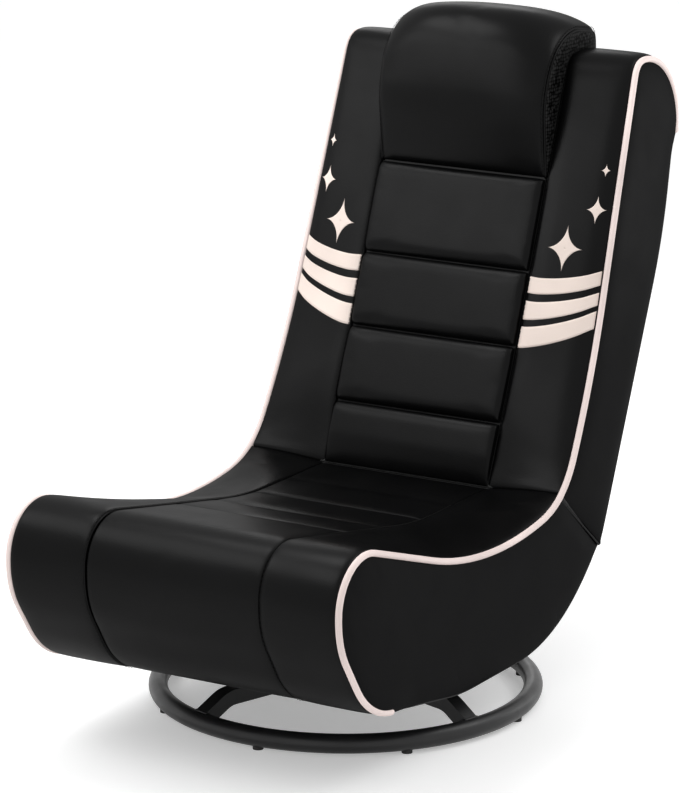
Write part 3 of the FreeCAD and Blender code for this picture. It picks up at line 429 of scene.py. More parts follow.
def swell(points, faces, sewn, cap, pressure=4.0, frames=16, quality=5):
    """A cover cut full between its seams, up to a cap, and then blown out by air.

    The air moves it by a third of the cap at most."""
    mesh = bpy.data.meshes.new("cover")
    mesh.from_pydata([tuple(map(float, point)) for point in points], [], faces)
    face_outwards(mesh)
    normals = np.array([tuple(vertex.normal) for vertex in mesh.vertices])
    cut = points + normals * (cap * fullness(faces, sewn))[:, None]
    for vertex, spot in zip(mesh.vertices, cut):
        vertex.co = spot
    cover = bpy.data.objects.new("cover", mesh)
    bpy.context.scene.collection.objects.link(cover)
    group = cover.vertex_groups.new(name="sewn")
    group.add([int(number) for number in np.flatnonzero(sewn)], 1.0, "REPLACE")
    cloth = cover.modifiers.new("air", "CLOTH")
    cloth.settings.vertex_group_mass = group.name
    cloth.settings.quality = quality
    cloth.settings.use_pressure = True
    cloth.settings.uniform_pressure_force = pressure
    cloth.settings.effector_weights.gravity = 0
    cloth.point_cache.frame_end = frames
    scene = bpy.context.scene
    for number in range(1, frames + 1):
        scene.frame_set(number)
    blown = cover.evaluated_get(bpy.context.evaluated_depsgraph_get()).data
    moved = np.array([tuple(vertex.co) for vertex in blown.vertices]) - cut
    scene.frame_set(1)
    bpy.data.objects.remove(cover)
    bpy.data.meshes.remove(mesh)
    reach = np.linalg.norm(moved, axis=1)
    limit = cap / 3
    held = np.tanh(reach / limit) * limit / np.maximum(reach, 1e-9)
    return cut + moved * held[:, None]


def turn_edges_in(mesh, depth=4 * MM, lap=0.6 * MM):
    """Turns the cut edges of a panel down into its seams, where they lap a little under the next panel."""
    shell = bmesh.new()
    shell.from_mesh(mesh)
    shell.normal_update()
    cut_edges = [edge for edge in shell.edges if edge.is_boundary]
    rim = [vertex for vertex in shell.verts if vertex.is_boundary]
    turned = {}
    for vertex in rim:
        centres = [face.calc_center_median() for face in vertex.link_faces]
        out = vertex.co - sum(centres, Vector()) / len(centres)
        out -= vertex.normal * out.dot(vertex.normal)
        turned[vertex] = shell.verts.new(vertex.co - vertex.normal * depth + out.normalized() * lap)
    for edge in cut_edges:
        start = edge.link_loops[0].vert
        stop = edge.other_vert(start)
        shell.faces.new([stop, start, turned[start], turned[stop]])
    shell.to_mesh(mesh)
    shell.free()
    mesh.shade_smooth()


def sewn_panel(name, grids, middle, finish, thick=1.6 * MM, body="seat"):
    """One cover panel made of grids, as a thin padded shell that faces away from the cushion's middle."""
    points, _, faces = weld_grids(grids)
    piece = new_piece(name, points, faces, finish)
    facing = 0.0
    for face in piece.data.polygons:
        facing += face.normal.dot(face.center - Vector(middle)) * face.area
    if facing < 0:
        piece.data.flip_normals()
    turn_edges_in(piece.data)
    shell = piece.modifiers.new("thickness", "SOLIDIFY")
    shell.thickness = thick
    shell.offset = -1
    soften(piece)
    if body:
        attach(piece, body)
    return piece


def grid_normals(grid, middle):
    """Unit normals of a grid of points, away from the cushion's middle."""
    normals = unit(np.cross(np.gradient(grid, axis=0), np.gradient(grid, axis=1)))
    if np.sum(normals * (grid - np.asarray(middle))) < 0:
        normals = -normals
    return normals


STITCH_LIFT = 0.3 * MM
STITCH_SHARE = 0.78
STITCH_ARCH = 2.4
STITCH_DIP = 0.9
STITCH_POINTS = 5
STITCH_SIDES = 6


def stitches(name, path, normals, finish, body, pitch=6.5 * MM, thread=0.4 * MM):
    """A row of lockstitches along a path, each a short thread that dips into the cover at both ends."""
    length = lengths_along(path)
    points = []
    faces = []
    dips = np.linspace(0, 1, STITCH_POINTS)
    for start in np.arange(pitch / 2, length[-1] - pitch, pitch):
        spots = start + dips * pitch * STITCH_SHARE
        line = np.column_stack([np.interp(spots, length, path[:, axis]) for axis in range(3)])
        lift = np.column_stack([np.interp(spots, length, normals[:, axis]) for axis in range(3)])
        line = line + lift * (thread * (STITCH_ARCH * np.sin(math.pi * dips) - STITCH_DIP))[:, None]
        more, ends = tube_mesh(line, np.full(STITCH_POINTS, thread), STITCH_SIDES)
        faces += [[number + len(points) for number in face] for face in ends]
        points += more.tolist()
    row = new_piece(name, points, faces, finish)
    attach(row, body)
    return row


black_leather = leather("black_leather", (0.0017, 0.0017, 0.0018), 0.32, 0.22)
# Painted shade: the side panels use a copy of the black leather with less gloss and a lighter base, for how
# the light falls on them.
side_leather_painted_shade = leather("side_leather_painted_shade", (0.004, 0.004, 0.0042), 0.34, 0.08)
# Besides the real stitches, this dark thread finish paints the shade in the seat's quilting grooves.
black_thread_and_groove_shade = new_finish("black_thread_and_groove_shade", (0.006, 0.006, 0.006), 0.6)
set_shader(black_thread_and_groove_shade, Specular_IOR_Level=0.06)
twist = add_texture(black_thread_and_groove_shade, "ShaderNodeTexNoise", Scale=3000.0, Detail=2.0)
add_relief(black_thread_and_groove_shade, twist, "Fac", 0.4, 0.0002)
vary(black_thread_and_groove_shade, twist, "Fac", "Base Color", (0.004, 0.004, 0.004), (0.01, 0.01, 0.01))
lining = new_finish("lining", (0.012, 0.012, 0.012), 0.9)
weave = add_texture(lining, "ShaderNodeTexWave", Scale=320.0, Distortion=1.5)
add_relief(lining, weave, "Fac", 0.3, 0.0004)
vary(lining, weave, "Fac", "Base Color", (0.008, 0.008, 0.008), (0.02, 0.02, 0.02))

STEP = 10 * MM
CLOSE = 2.5 * MM
PANEL = 126 * MM
HALF = 236.5 * MM
CREASE = (155, 262)
SPLIT = (262, 174)
SEAT_END = (-290, 99.3)
seat_edge = rounded(
    [CREASE, (-43, 222, 600), (-423, 346, 66), (-421, 217, 110), (-349, 109, 120), SEAT_END]
)
seat_centre = rounded(
    [CREASE, (-43, 262, 600), (-416, 330, 60), (-416, 217, 110), (-349, 109, 120), SEAT_END]
)
seat_under = rounded([SPLIT, (150, 70, 280), (-112, 70, 400), SEAT_END])
QUILTING = [62, -24, -116, -208]
LUMBAR = (240, 418)
FOLD_REACH = 60 * MM
FOLD_TUCK = 6 * MM
FOLD_LAP = 2 * MM
seat_heading = unit(np.subtract(seat_edge[1][1], seat_edge[1][0]))
back_heading = unit(np.subtract(LUMBAR, CREASE))
fold_way = seat_heading + back_heading
fold_across = unit(back_heading - seat_heading)
seat_tuck = np.array([0, *(-FOLD_TUCK * unit(fold_way) + FOLD_LAP * fold_across)])
back_tuck = np.array([0, *(-FOLD_TUCK * unit(fold_way) - FOLD_LAP * fold_across)])
FOLD_ROOM = 0.5 * MM
FOLD_OPENING = 0.1
QUILT_SINK = 1.6 * MM
# How far either side of each quilting line the painted shade reaches.
QUILT_SHADE_WIDTH = 2.4 * MM
ROLL_PHASE = 3.5
ROLL_SPREAD = 90 * MM
PANEL_BULGE = 5 * MM
BOLSTER_BULGE = 3 * MM
ROLL_BULGE = 1.5 * MM
CENTRE_BULGE = 2 * MM
UNDER_SPREAD = ([0, 0.62, 1], [0, 0.86, 1])
MOUNT_HALF = (121 * MM, 96 * MM)
LAYERS = np.array([0, 0.03, 0.1, 0.2, 0.32, 0.45, 0.58, 0.7, 0.81, 0.9, 0.97, 1])
HEM_LAYERS = [0, 0.5, 1]

edge_length = lengths_along(seat_edge[1])
behind_roll = slice(0, 3 * RUN_POINTS)
quilt_depths = [-y * MM - AXIS_Y for y in QUILTING]
quilted = np.interp(quilt_depths, -seat_centre[1][behind_roll, 0], seat_centre[0][behind_roll])
quilt_spots = np.interp(quilted, seat_edge[0], edge_length)
row_spots = rows_with_seams(0, edge_length[-1], STEP, quilt_spots, CLOSE)
row_phase = np.interp(row_spots, edge_length, seat_edge[0])
row_share = row_spots / edge_length[-1]
quilt_rows = [int(np.argmin(np.abs(row_spots - spot))) for spot in quilt_spots]


def cushion_columns(half):
    """Columns from -2 to 2: the centre panel lies between -1 and 1, a bolster beyond on each side."""
    spots = rows_with_seams(-half, half, STEP, [-half, -PANEL, PANEL, half], CLOSE)
    beyond = 1 + (np.abs(spots) - PANEL) / (half - PANEL)
    return np.sign(spots) * np.where(np.abs(spots) <= PANEL, np.abs(spots) / PANEL, beyond)


def fold_lip(distance):
    """How far the bolsters rise towards the fold, at a distance from it."""
    return FOLD_REACH / 4 * (1 - np.clip(distance / FOLD_REACH, 0, 1)) ** 2


def fold_room(distance):
    """How far a cover may stand off at a distance from the fold."""
    return FOLD_ROOM + FOLD_OPENING * distance


def fold_arch(columns):
    """The share of the bolsters' rise across the cushion: none in the centre panel, full at the piping."""
    return np.sin(math.pi / 2 * np.clip(np.abs(columns) - 1, 0, 1))


def without_lip(side, lip):
    """A side panel or rear face that stays below the bolster's lip."""
    return side - (lip[:, None] * (1 - LAYERS))[..., None] * np.array([0, *fold_way])


columns = cushion_columns(HALF)
left_seam = int(np.argmin(np.abs(columns + 1)))
right_seam = int(np.argmin(np.abs(columns - 1)))
seat_top = across_cushion(
    at_phase(seat_centre, row_phase), at_phase(seat_edge, row_phase), columns, PANEL, lambda z: HALF
)
lip = fold_lip(row_spots)
seat_top[..., 1:] += (lip[:, None] * fold_arch(columns))[..., None] * fold_way
under_share = np.interp(row_share, *UNDER_SPREAD)
under = at_share(seat_under, under_share)
seat_bottom = across_cushion(under, under, columns, PANEL, lambda z: HALF)
seat_left = between(seat_top[:, 0], seat_bottom[:, 0], LAYERS)
seat_right = between(seat_top[:, -1], seat_bottom[:, -1], LAYERS)
seat_rear = between(seat_top[0], seat_bottom[0], LAYERS)
seat_grids = [seat_top, seat_bottom, seat_left, seat_right, seat_rear]
points, numbers, faces = weld_grids(seat_grids)
top_numbers, bottom_numbers, left_numbers, right_numbers, rear_numbers = numbers
sewn = np.zeros(len(points), bool)
cap = np.full(len(points), PANEL_BULGE)
roll_spot = np.interp(ROLL_PHASE, seat_edge[0], edge_length)
on_roll = np.exp(-(((row_spots - roll_spot) / ROLL_SPREAD) ** 2))
bolster_cap = BOLSTER_BULGE + ROLL_BULGE * on_roll
room = fold_room(row_spots)
cap[top_numbers] = np.minimum(bolster_cap, room)[:, None]
cap[top_numbers[:, left_seam : right_seam + 1]] = np.minimum(CENTRE_BULGE, room)[:, None]
sewn[bottom_numbers] = True
sewn[rear_numbers] = True
for column in (0, left_seam, right_seam, -1):
    sewn[top_numbers[:, column]] = True
sewn[top_numbers[0]] = True
sewn[top_numbers[-1]] = True
for row in quilt_rows:
    sewn[top_numbers[row, left_seam : right_seam + 1]] = True
points = swell(points, faces, sewn, cap)
seat_top, seat_bottom, seat_left, seat_right, seat_rear = [points[number] for number in numbers]
seat_middle = points.mean(axis=0)
seat_normals = grid_normals(seat_top, seat_middle)
inner = slice(left_seam + 1, right_seam)
for row in quilt_rows:
    seat_top[row, inner] -= seat_normals[row, inner] * QUILT_SINK
seat_left = without_lip(seat_left, lip)
seat_right = without_lip(seat_right, lip)
seat_rear = without_lip(seat_rear, fold_lip(0) * fold_arch(columns))

centre_grid = seat_top[:, left_seam : right_seam + 1]
centre_grid = np.concatenate([[centre_grid[0] + seat_tuck], centre_grid])
centre_cover = sewn_panel("seat_cover_centre", [centre_grid], seat_middle, black_leather)
# Painted shade: faces within a few millimetres of each quilting line take the dark thread finish.
centre_cover.data.materials.append(black_thread_and_groove_shade)
quilt_lines = seat_top[quilt_rows, left_seam + 1, 1:]
for face in centre_cover.data.polygons:
    away = np.linalg.norm(quilt_lines - np.array(face.center[1:]), axis=1)
    if away.min() < QUILT_SHADE_WIDTH:
        face.material_index = 1
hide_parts("seat_centre_panel", "seat_foam")
fold_rows = slice(0, int(np.sum(row_spots < FOLD_REACH)) + 1)
for hand, grid, edge, side in (
    ("left", seat_top[:, : left_seam + 1], 0, seat_left),
    ("right", seat_top[:, right_seam:], -1, seat_right),
):
    hem = between(grid[fold_rows, edge], side[fold_rows, 0], HEM_LAYERS)
    grid = np.concatenate([[grid[0] + seat_tuck], grid])
    bolster = sewn_panel(f"seat_cover_bolster_{hand}", [grid, hem], seat_middle, black_leather, body=None)
    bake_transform(bolster)
    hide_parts(f"seat_bolster_{hand}")
for hand, grid in (("left", seat_left), ("right", seat_right)):
    side = sewn_panel(f"seat_cover_side_{hand}", [grid], seat_middle, side_leather_painted_shade)
    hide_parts(f"seat_side_{hand}")
open_rows = np.flatnonzero(np.abs(seat_bottom[:, 0, 1]) <= MOUNT_HALF[1])
open_columns = np.flatnonzero(np.abs(seat_bottom[0, :, 0]) <= MOUNT_HALF[0])
rear_row = open_rows[0] - 1
front_row = open_rows[-1] + 1
near_column = open_columns[0] - 1
far_column = open_columns[-1] + 1
lining_grids = [
    seat_bottom[: rear_row + 1],
    seat_bottom[front_row:],
    seat_bottom[rear_row : front_row + 1, : near_column + 1],
    seat_bottom[rear_row : front_row + 1, far_column:],
    seat_rear,
]
bottom = sewn_panel("seat_cover_lining", lining_grids, seat_middle, lining, thick=1.0 * MM)
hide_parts("seat_underside")
for hand, column in (("left", left_seam - 1), ("right", right_seam + 1)):
    sewn_rows = row_spots > FOLD_REACH / 2
    path = (seat_top[:, column] + seat_normals[:, column] * STITCH_LIFT)[sewn_rows]
    stitches(f"seat_stitching_{hand}", path, seat_normals[sewn_rows, column], black_thread_and_groove_shade, "seat")
for number, row in enumerate(quilt_rows, start=1):
    path = seat_top[row, inner]
    stitches(f"seat_quilting_{number}", path, seat_normals[row, inner], black_thread_and_groove_shade, "seat")

# Backrest cover: the same leather, with a plain centre behind the sewn channels, a bolster on each
# side, upright side panels and one large rear panel. It narrows a little towards the top.

BACK_TAPER = 0.033
BACK_CREASE = (155.4, 262.5)
BACK_SPLIT = (262.4, 174.5)
BACK_END = (495.2, 700)
SPINE_SPREAD = ([0, 0.7, 1], [0, 0.92, 1])
BACK_BULGE = 6 * MM
back_edge = rounded([BACK_CREASE, (*LUMBAR, 1200), (379, 806, 25.5), (524, 811, 93), BACK_END])
back_centre = rounded([BACK_CREASE, (222, 418, 1200), (368, 806, 25.5), (524, 811, 93), BACK_END])
back_spine = rounded([BACK_SPLIT, (457, 553, 600), BACK_END])


def back_half(level):
    """Half the width of the backrest at a height."""
    return HALF - BACK_TAPER * (level - CREASE[1] * MM)


back_length = lengths_along(back_edge[1])
back_spots = rows_with_seams(0, back_length[-1], STEP, [], CLOSE)
back_phase = np.interp(back_spots, back_length, back_edge[0])
back_front = across_cushion(
    at_phase(back_centre, back_phase), at_phase(back_edge, back_phase), columns, PANEL, back_half
)
lip = fold_lip(back_spots)
back_front[..., 1:] += (lip[:, None] * fold_arch(columns))[..., None] * fold_way
spine_share = np.interp(back_spots / back_length[-1], *SPINE_SPREAD)
spine = at_share(back_spine, spine_share)
back_rear = across_cushion(spine, spine, columns, PANEL, back_half)
back_left = between(back_front[:, 0], back_rear[:, 0], LAYERS)
back_right = between(back_front[:, -1], back_rear[:, -1], LAYERS)
back_foot = between(back_front[0], back_rear[0], LAYERS)
points, numbers, faces = weld_grids([back_front, back_rear, back_left, back_right, back_foot])
front_numbers, rear_numbers, left_numbers, right_numbers, foot_numbers = numbers
sewn = np.zeros(len(points), bool)
cap = np.full(len(points), PANEL_BULGE)
cap[front_numbers] = np.minimum(BACK_BULGE, fold_room(back_spots))[:, None]
sewn[front_numbers[:, left_seam : right_seam + 1]] = True
sewn[front_numbers[:, [0, -1]]] = True
sewn[front_numbers[[0, -1]]] = True
sewn[rear_numbers[:, [0, -1]]] = True
sewn[foot_numbers] = True
points = swell(points, faces, sewn, cap)
back_front, back_rear, back_left, back_right, back_foot = [points[number] for number in numbers]
back_middle = points.mean(axis=0)
back_left = without_lip(back_left, lip)
back_right = without_lip(back_right, lip)
back_foot = without_lip(back_foot, fold_lip(0) * fold_arch(columns))

centre_grid = back_front[:, left_seam : right_seam + 1]
centre_grid = np.concatenate([[centre_grid[0] + back_tuck], centre_grid])
centre_cover = sewn_panel("back_cover_centre", [centre_grid], back_middle, black_leather, body="back")
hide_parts("back_centre_panel", "back_foam")
back_bolsters = {}
fold_rows = slice(0, int(np.sum(back_spots < FOLD_REACH)) + 1)
for hand, grid, edge, side in (
    ("left", back_front[:, : left_seam + 1], 0, back_left),
    ("right", back_front[:, right_seam:], -1, back_right),
):
    hem = between(grid[fold_rows, edge], side[fold_rows, 0], HEM_LAYERS)
    grid = np.concatenate([[grid[0] + back_tuck], grid])
    bolster = sewn_panel(f"back_cover_bolster_{hand}", [grid, hem], back_middle, black_leather, body=None)
    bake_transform(bolster)
    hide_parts(f"back_bolster_{hand}")
    back_bolsters[hand] = bolster
for hand, grid in (("left", back_left), ("right", back_right)):
    side = sewn_panel(f"back_cover_side_{hand}", [grid], back_middle, side_leather_painted_shade, body="back")
    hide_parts(f"back_side_{hand}")
rear_cover = sewn_panel("back_cover_rear", [back_rear, back_foot], back_middle, black_leather, body="back")
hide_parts("back_rear_panel")
back_normals = grid_normals(back_front, back_middle)
for hand, column in (("left", left_seam - 1), ("right", right_seam + 1)):
    sewn_rows = back_spots > FOLD_REACH / 2
    path = (back_front[:, column] + back_normals[:, column] * STITCH_LIFT)[sewn_rows]
    stitches(f"back_stitching_{hand}", path, back_normals[sewn_rows, column], black_thread_and_groove_shade, "back")

# Piping: a cord wrapped in blush coloured synthetic leather, sewn into the seam between the covers and
# the side panels. One runs on each side, from behind the crown down over the fold and round the front roll.


def resample(path, step):
    """Even points along a path."""
    length = lengths_along(path)
    spots = np.linspace(0, length[-1], round(length[-1] / step))
    return np.column_stack([np.interp(spots, length, path[:, axis]) for axis in range(path.shape[1])])


PIPING_RADIUS = 4.3 * MM
PIPING_INSET = 1.7 * MM
PIPING_OUT = 2.8 * MM
PIPING_STEP = 6 * MM
PIPING_SIDES = 14
GATHER = 0.012
GATHER_PITCH = 2.4
GATHER_IN_BENDS = 12
SHARP_BEND = 0.1
blush_leather = leather("blush_leather", (0.78, 0.66, 0.63), 0.4, 0.4)
seam_line = np.concatenate([back_front[::-1, -1, 1:], seat_top[1:, -1, 1:]])
fold_spot = lengths_along(seam_line)[len(back_front) - 1]
route = resample(seam_line, PIPING_STEP)
heading = unit(np.gradient(route, axis=0))
route = route + np.column_stack([-heading[:, 1], heading[:, 0]]) * PIPING_INSET
on_back = np.linspace(0, lengths_along(seam_line)[-1], len(route)) < fold_spot
aside = np.where(on_back, back_half(route[:, 1]), HALF) + PIPING_OUT
bends = np.linalg.norm(np.gradient(heading, axis=0), axis=1)
puckers = GATHER * np.cos(np.arange(len(route)) * GATHER_PITCH)
gathers = 1 + puckers * (1 + GATHER_IN_BENDS * np.minimum(bends, SHARP_BEND))
for hand, sign in (("left", -1), ("right", 1)):
    line = np.column_stack([sign * aside, route])
    round_cord = tube_mesh(line, PIPING_RADIUS * gathers, PIPING_SIDES)
    cord = new_piece(f"piping_cord_{hand}", *round_cord, blush_leather)
    soften(cord)
    reach = round(FOLD_REACH / PIPING_STEP)
    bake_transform(cord)
    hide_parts(f"seat_piping_{hand}", f"back_piping_{hand}")

# Channel pads: four foam filled channels up the middle of the backrest, sewn across between the
# bolsters. Each is flat in front and rolls into the seams round it.

PAD_RISE = 8.5
PAD_ROLL = 10
PAD_RUN = 4
PAD_FOLD_RUN = 40
PAD_HALF = 125.4 * MM
PAD_SIDE = 9 * MM
PAD_BULGE = 3 * MM
SEAMS = [261.5, 341, 437, 532, 650]
SEAM_HALF = 0.3
SEAM_LIFT = 0.8
below_crown = slice(0, 3 * RUN_POINTS)
face_levels = back_centre[1][below_crown, 1]
face_depths = back_centre[1][below_crown, 0]
halfway = 1 - PAD_SIDE / 2 / PAD_HALF
pad_columns = rows_with_seams(-1, 1, STEP / PAD_HALF, [-1, -halfway, halfway, 1], CLOSE / PAD_HALF)
to_side = np.clip((np.abs(pad_columns) - 1) * PAD_HALF / PAD_SIDE + 1, 0, 0.99)
round_off = np.sqrt(1 - to_side**2)[None, :, None]
for number, (low, high) in enumerate(zip(SEAMS, SEAMS[1:]), start=1):
    levels = np.array([low + SEAM_HALF, high - SEAM_HALF]) * MM
    ends = np.column_stack([np.interp(levels, face_levels, face_depths), levels])
    ends = (ends - (AXIS_Y, 0)) / MM
    up = unit(ends[1] - ends[0])
    out = np.array([-up[1], up[0]])
    start, stop = ends + out * SEAM_LIFT
    lower = start + up * (PAD_FOLD_RUN if number == 1 else PAD_RUN) + out * PAD_RISE
    upper = stop - up * PAD_RUN + out * PAD_RISE
    front = rounded([tuple(start), (*lower, PAD_ROLL), (*upper, PAD_ROLL), tuple(stop)])
    pad_length = lengths_along(front[1])
    pad_rows = rows_with_seams(0, pad_length[-1], STEP / 2, [], CLOSE)
    pad_line = at_phase(front, np.interp(pad_rows, pad_length, front[0]))
    back_line = np.linspace(pad_line[0], pad_line[-1], len(pad_line))
    pad_front = across_cushion(pad_line, pad_line, pad_columns, PAD_HALF, lambda z: PAD_HALF)
    pad_back = across_cushion(back_line, back_line, pad_columns, PAD_HALF, lambda z: PAD_HALF)
    pad_front = pad_back + (pad_front - pad_back) * round_off
    pad_left = between(pad_front[:, 0], pad_back[:, 0], HEM_LAYERS)
    pad_right = between(pad_front[:, -1], pad_back[:, -1], HEM_LAYERS)
    points, numbers, faces = weld_grids([pad_front, pad_back, pad_left, pad_right])
    sewn = np.zeros(len(points), bool)
    for held in numbers[1:]:
        sewn[held] = True
    points = swell(points, faces, sewn, np.full(len(points), PAD_BULGE))
    pad = new_piece(f"channel_{number}", points, faces, black_leather)
    face_outwards(pad.data)
    soften(pad)
    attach(pad, "back")
    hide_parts(f"back_channel_pad_{number}")
    if number == 1:
        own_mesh(pad)

# Headrest: a wedge of foam in a leather cover, sewn on across the top of the backrest.
# Each end is closed by a gusset of black spacer mesh with a bound seam round it.

spacer_mesh = new_finish("spacer_mesh", (0.012, 0.012, 0.012), 0.6)
set_shader(spacer_mesh, Specular_IOR_Level=0.02)
cells_and_painted_glints = add_texture(spacer_mesh, "ShaderNodeTexVoronoi", Scale=215.0, Randomness=0.35)
add_relief(spacer_mesh, cells_and_painted_glints, "Distance", 0.9, 0.0016)
# The cells give the knit its relief; their centres are also painted a little lighter, as small painted
# highlights.
vary(spacer_mesh, cells_and_painted_glints, "Distance", "Base Color", (0.024, 0.024, 0.024), (0.0, 0.0, 0.0))
HEAD_STEP = 0.75 * STEP
HEAD_HALF = 125 * MM
HEAD_CROWN = 3.4
HEAD_BULGE = 6 * MM
GUSSET_BULGE = 3 * MM
BINDING_RADIUS = 1.8 * MM
BINDING_STEP = 5 * MM
BINDING_SIDES = 8
HEAD_FOOT = (308.5, 651)
HEAD_REAR = (446, 796)
head_centre = rounded([HEAD_FOOT, (288, 745, 120), (312, 868, 50), (446, 848, 14), HEAD_REAR])
head_edge = rounded([HEAD_FOOT, (301, 750, 120), (334, 847, 80), (444, 829, 12), HEAD_REAR])
head_seat = rounded([HEAD_FOOT, (366.5, 807, 25), HEAD_REAR])
head_length = lengths_along(head_edge[1])
head_spots = rows_with_seams(0, head_length[-1], HEAD_STEP, [], CLOSE)
head_phase = np.interp(head_spots, head_length, head_edge[0])
head_across = rows_with_seams(-1, 1, STEP / HEAD_HALF, [-1, 1], CLOSE / HEAD_HALF)
crown = (np.abs(head_across) ** HEAD_CROWN)[None, :, None]
fullest = at_phase(head_centre, head_phase)[:, None]
slimmest = at_phase(head_edge, head_phase)[:, None]
rest = at_share(head_seat, head_spots / head_length[-1])[:, None]
aside = np.broadcast_to(HEAD_HALF * head_across, (len(head_phase), len(head_across)))
head_front = np.dstack([aside, fullest * (1 - crown) + slimmest * crown])
head_back = np.dstack([aside, rest + 0 * crown])
head_left = between(head_front[:, 0], head_back[:, 0], LAYERS)
head_right = between(head_front[:, -1], head_back[:, -1], LAYERS)
points, numbers, faces = weld_grids([head_front, head_back, head_left, head_right])
front_numbers, rear_numbers, left_numbers, right_numbers = numbers
sewn = np.zeros(len(points), bool)
cap = np.full(len(points), HEAD_BULGE)
cap[left_numbers] = GUSSET_BULGE
cap[right_numbers] = GUSSET_BULGE
sewn[rear_numbers] = True
sewn[front_numbers[:, [0, -1]]] = True
sewn[front_numbers[[0, -1]]] = True
points = swell(points, faces, sewn, cap)
head_front, head_back, head_left, head_right = [points[number] for number in numbers]
head_middle = points.mean(axis=0)
cover = sewn_panel("headrest_leather", [head_front], head_middle, black_leather, body="back")
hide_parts("headrest_cover", "headrest_foam")
head_normals = grid_normals(head_front, head_middle)
for hand, grid, column, inner in (("left", head_left, 0, 1), ("right", head_right, -1, -2)):
    name = f"headrest_gusset_{hand}"
    gusset = sewn_panel(name, [grid], head_middle, spacer_mesh, thick=1.2 * MM, body="back")
    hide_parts(f"headrest_mesh_{hand}")
    bound_edge = resample(head_front[:, column], BINDING_STEP)
    tape = tube_mesh(bound_edge, np.full(len(bound_edge), BINDING_RADIUS), BINDING_SIDES)
    binding = new_piece(f"headrest_binding_{hand}", *tape, black_leather)
    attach(binding, "back")
    path = head_front[:, inner] + head_normals[:, inner] * STITCH_LIFT
    stitches(f"headrest_stitching_{hand}", path, head_normals[:, inner], black_thread_and_groove_shade, "back")

# Stripes and stars: blush transfers pressed onto the leather of the backrest's bolsters.
# Three bands sag across each bolster, with three four-pointed stars above them.

STRIPES = [((528, 507), (542, 524)), ((497, 473), (515, 499)), ((464, 437), (492, 470))]
SAG = 5
STRIPE_ENDS = (0.02, 0.985)
STRIPE_GRID = (40, 9)
STARS = [(171, 567, 24, 29), (205, 618, 14, 17.5), (208.5, 668, 6.5, 8)]
STAR_POWER = 3.4
STAR_HEART = 0.02
STAR_GRID = (8, 65)
FILM = 0.5 * MM
blush_film = leather("blush_film", (0.74, 0.635, 0.575), 0.45, 0.3)
bolster_shares = columns[right_seam:] - 1


def on_bolster(grid, share, level):
    """The point of a bolster's grid at a share of its width and at a height."""
    share = np.clip(share, bolster_shares[0], bolster_shares[-1])
    front = grid[: int(np.argmax(grid[:, 0, 2]))]
    line = np.column_stack(
        [[np.interp(share, bolster_shares, row[:, axis]) for row in front] for axis in range(3)]
    )
    return np.array([np.interp(level, line[:, 2], line[:, axis]) for axis in range(3)])


def transfer(name, spots, shape, skin):
    """A thin film of the given grid shape, laid on a bolster's finished surface."""
    laid = []
    for spot in spots:
        place, normal, _, _ = skin.find_nearest(Vector(spot))
        laid.append(np.array(place + normal * FILM))
    numbers = np.arange(len(laid)).reshape(shape)
    corners = [numbers[:-1, :-1], numbers[1:, :-1], numbers[1:, 1:], numbers[:-1, 1:]]
    film = new_piece(name, laid, np.stack(corners, axis=-1).reshape(-1, 4).tolist(), blush_film)
    middle = film.data.polygons[len(film.data.polygons) // 2]
    _, normal, _, _ = skin.find_nearest(middle.center)
    if middle.normal.dot(normal) < 0:
        film.data.flip_normals()
    shell = film.modifiers.new("thickness", "SOLIDIFY")
    shell.thickness = FILM
    shell.offset = 0
    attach(film, "back")


graph = bpy.context.evaluated_depsgraph_get()
for hand, sign in (("left", -1), ("right", 1)):
    grid = back_front[:, right_seam:] if sign > 0 else back_front[:, left_seam::-1]
    skin = BVHTree.FromObject(back_bolsters[hand], graph)
    for number, ((inner_high, inner_low), (outer_high, outer_low)) in enumerate(STRIPES, start=1):
        spots = []
        for share in np.linspace(*STRIPE_ENDS, STRIPE_GRID[0]):
            drop = SAG * 4 * share * (1 - share)
            high = inner_high + share * (outer_high - inner_high) - drop
            low = inner_low + share * (outer_low - inner_low) - drop
            levels = np.linspace(low, high, STRIPE_GRID[1])
            spots += [on_bolster(grid, share, level * MM) for level in levels]
        transfer(f"stripe_{hand}_{number}", spots, STRIPE_GRID, skin)
    for number, (out, level, wide, high) in enumerate(STARS, start=1):
        spots = []
        width = (back_half(level * MM) - PANEL) / MM
        for ring in np.linspace(STAR_HEART, 1, STAR_GRID[0]):
            for turn in np.linspace(0, 2 * math.pi, STAR_GRID[1]):
                aside = math.copysign(abs(math.cos(turn)) ** STAR_POWER, math.cos(turn)) * wide * ring
                above = math.copysign(abs(math.sin(turn)) ** STAR_POWER, math.sin(turn)) * high * ring
                share = (out + aside - PANEL / MM) / width
                spots.append(on_bolster(grid, share, (level + above) * MM))
        transfer(f"star_{hand}_{number}", spots, STAR_GRID, skin)

# Studio: a white floor that runs into a white room, with soft lamps in front, above, at the sides and
# behind. Floor and room look white where they are seen, directly or in a reflection, and give the
# chair a plain light. The floor keeps the chair's shadow.

FLOOR = 14.0
FLOOR_GLOW = 0.33
ROOM_LIGHT = 0.7
ROOM_WHITE = 1.0


def where_seen(tree):
    """A socket that is 1 for rays from the camera, a glossy surface or glass, and 0 for the others."""
    rays = tree.nodes.new("ShaderNodeLightPath")
    seen = rays.outputs["Is Camera Ray"]
    for kind in ("Is Glossy Ray", "Is Transmission Ray"):
        either = tree.nodes.new("ShaderNodeMath")
        either.operation = "MAXIMUM"
        tree.links.new(seen, either.inputs[0])
        tree.links.new(rays.outputs[kind], either.inputs[1])
        seen = either.outputs["Value"]
    return seen


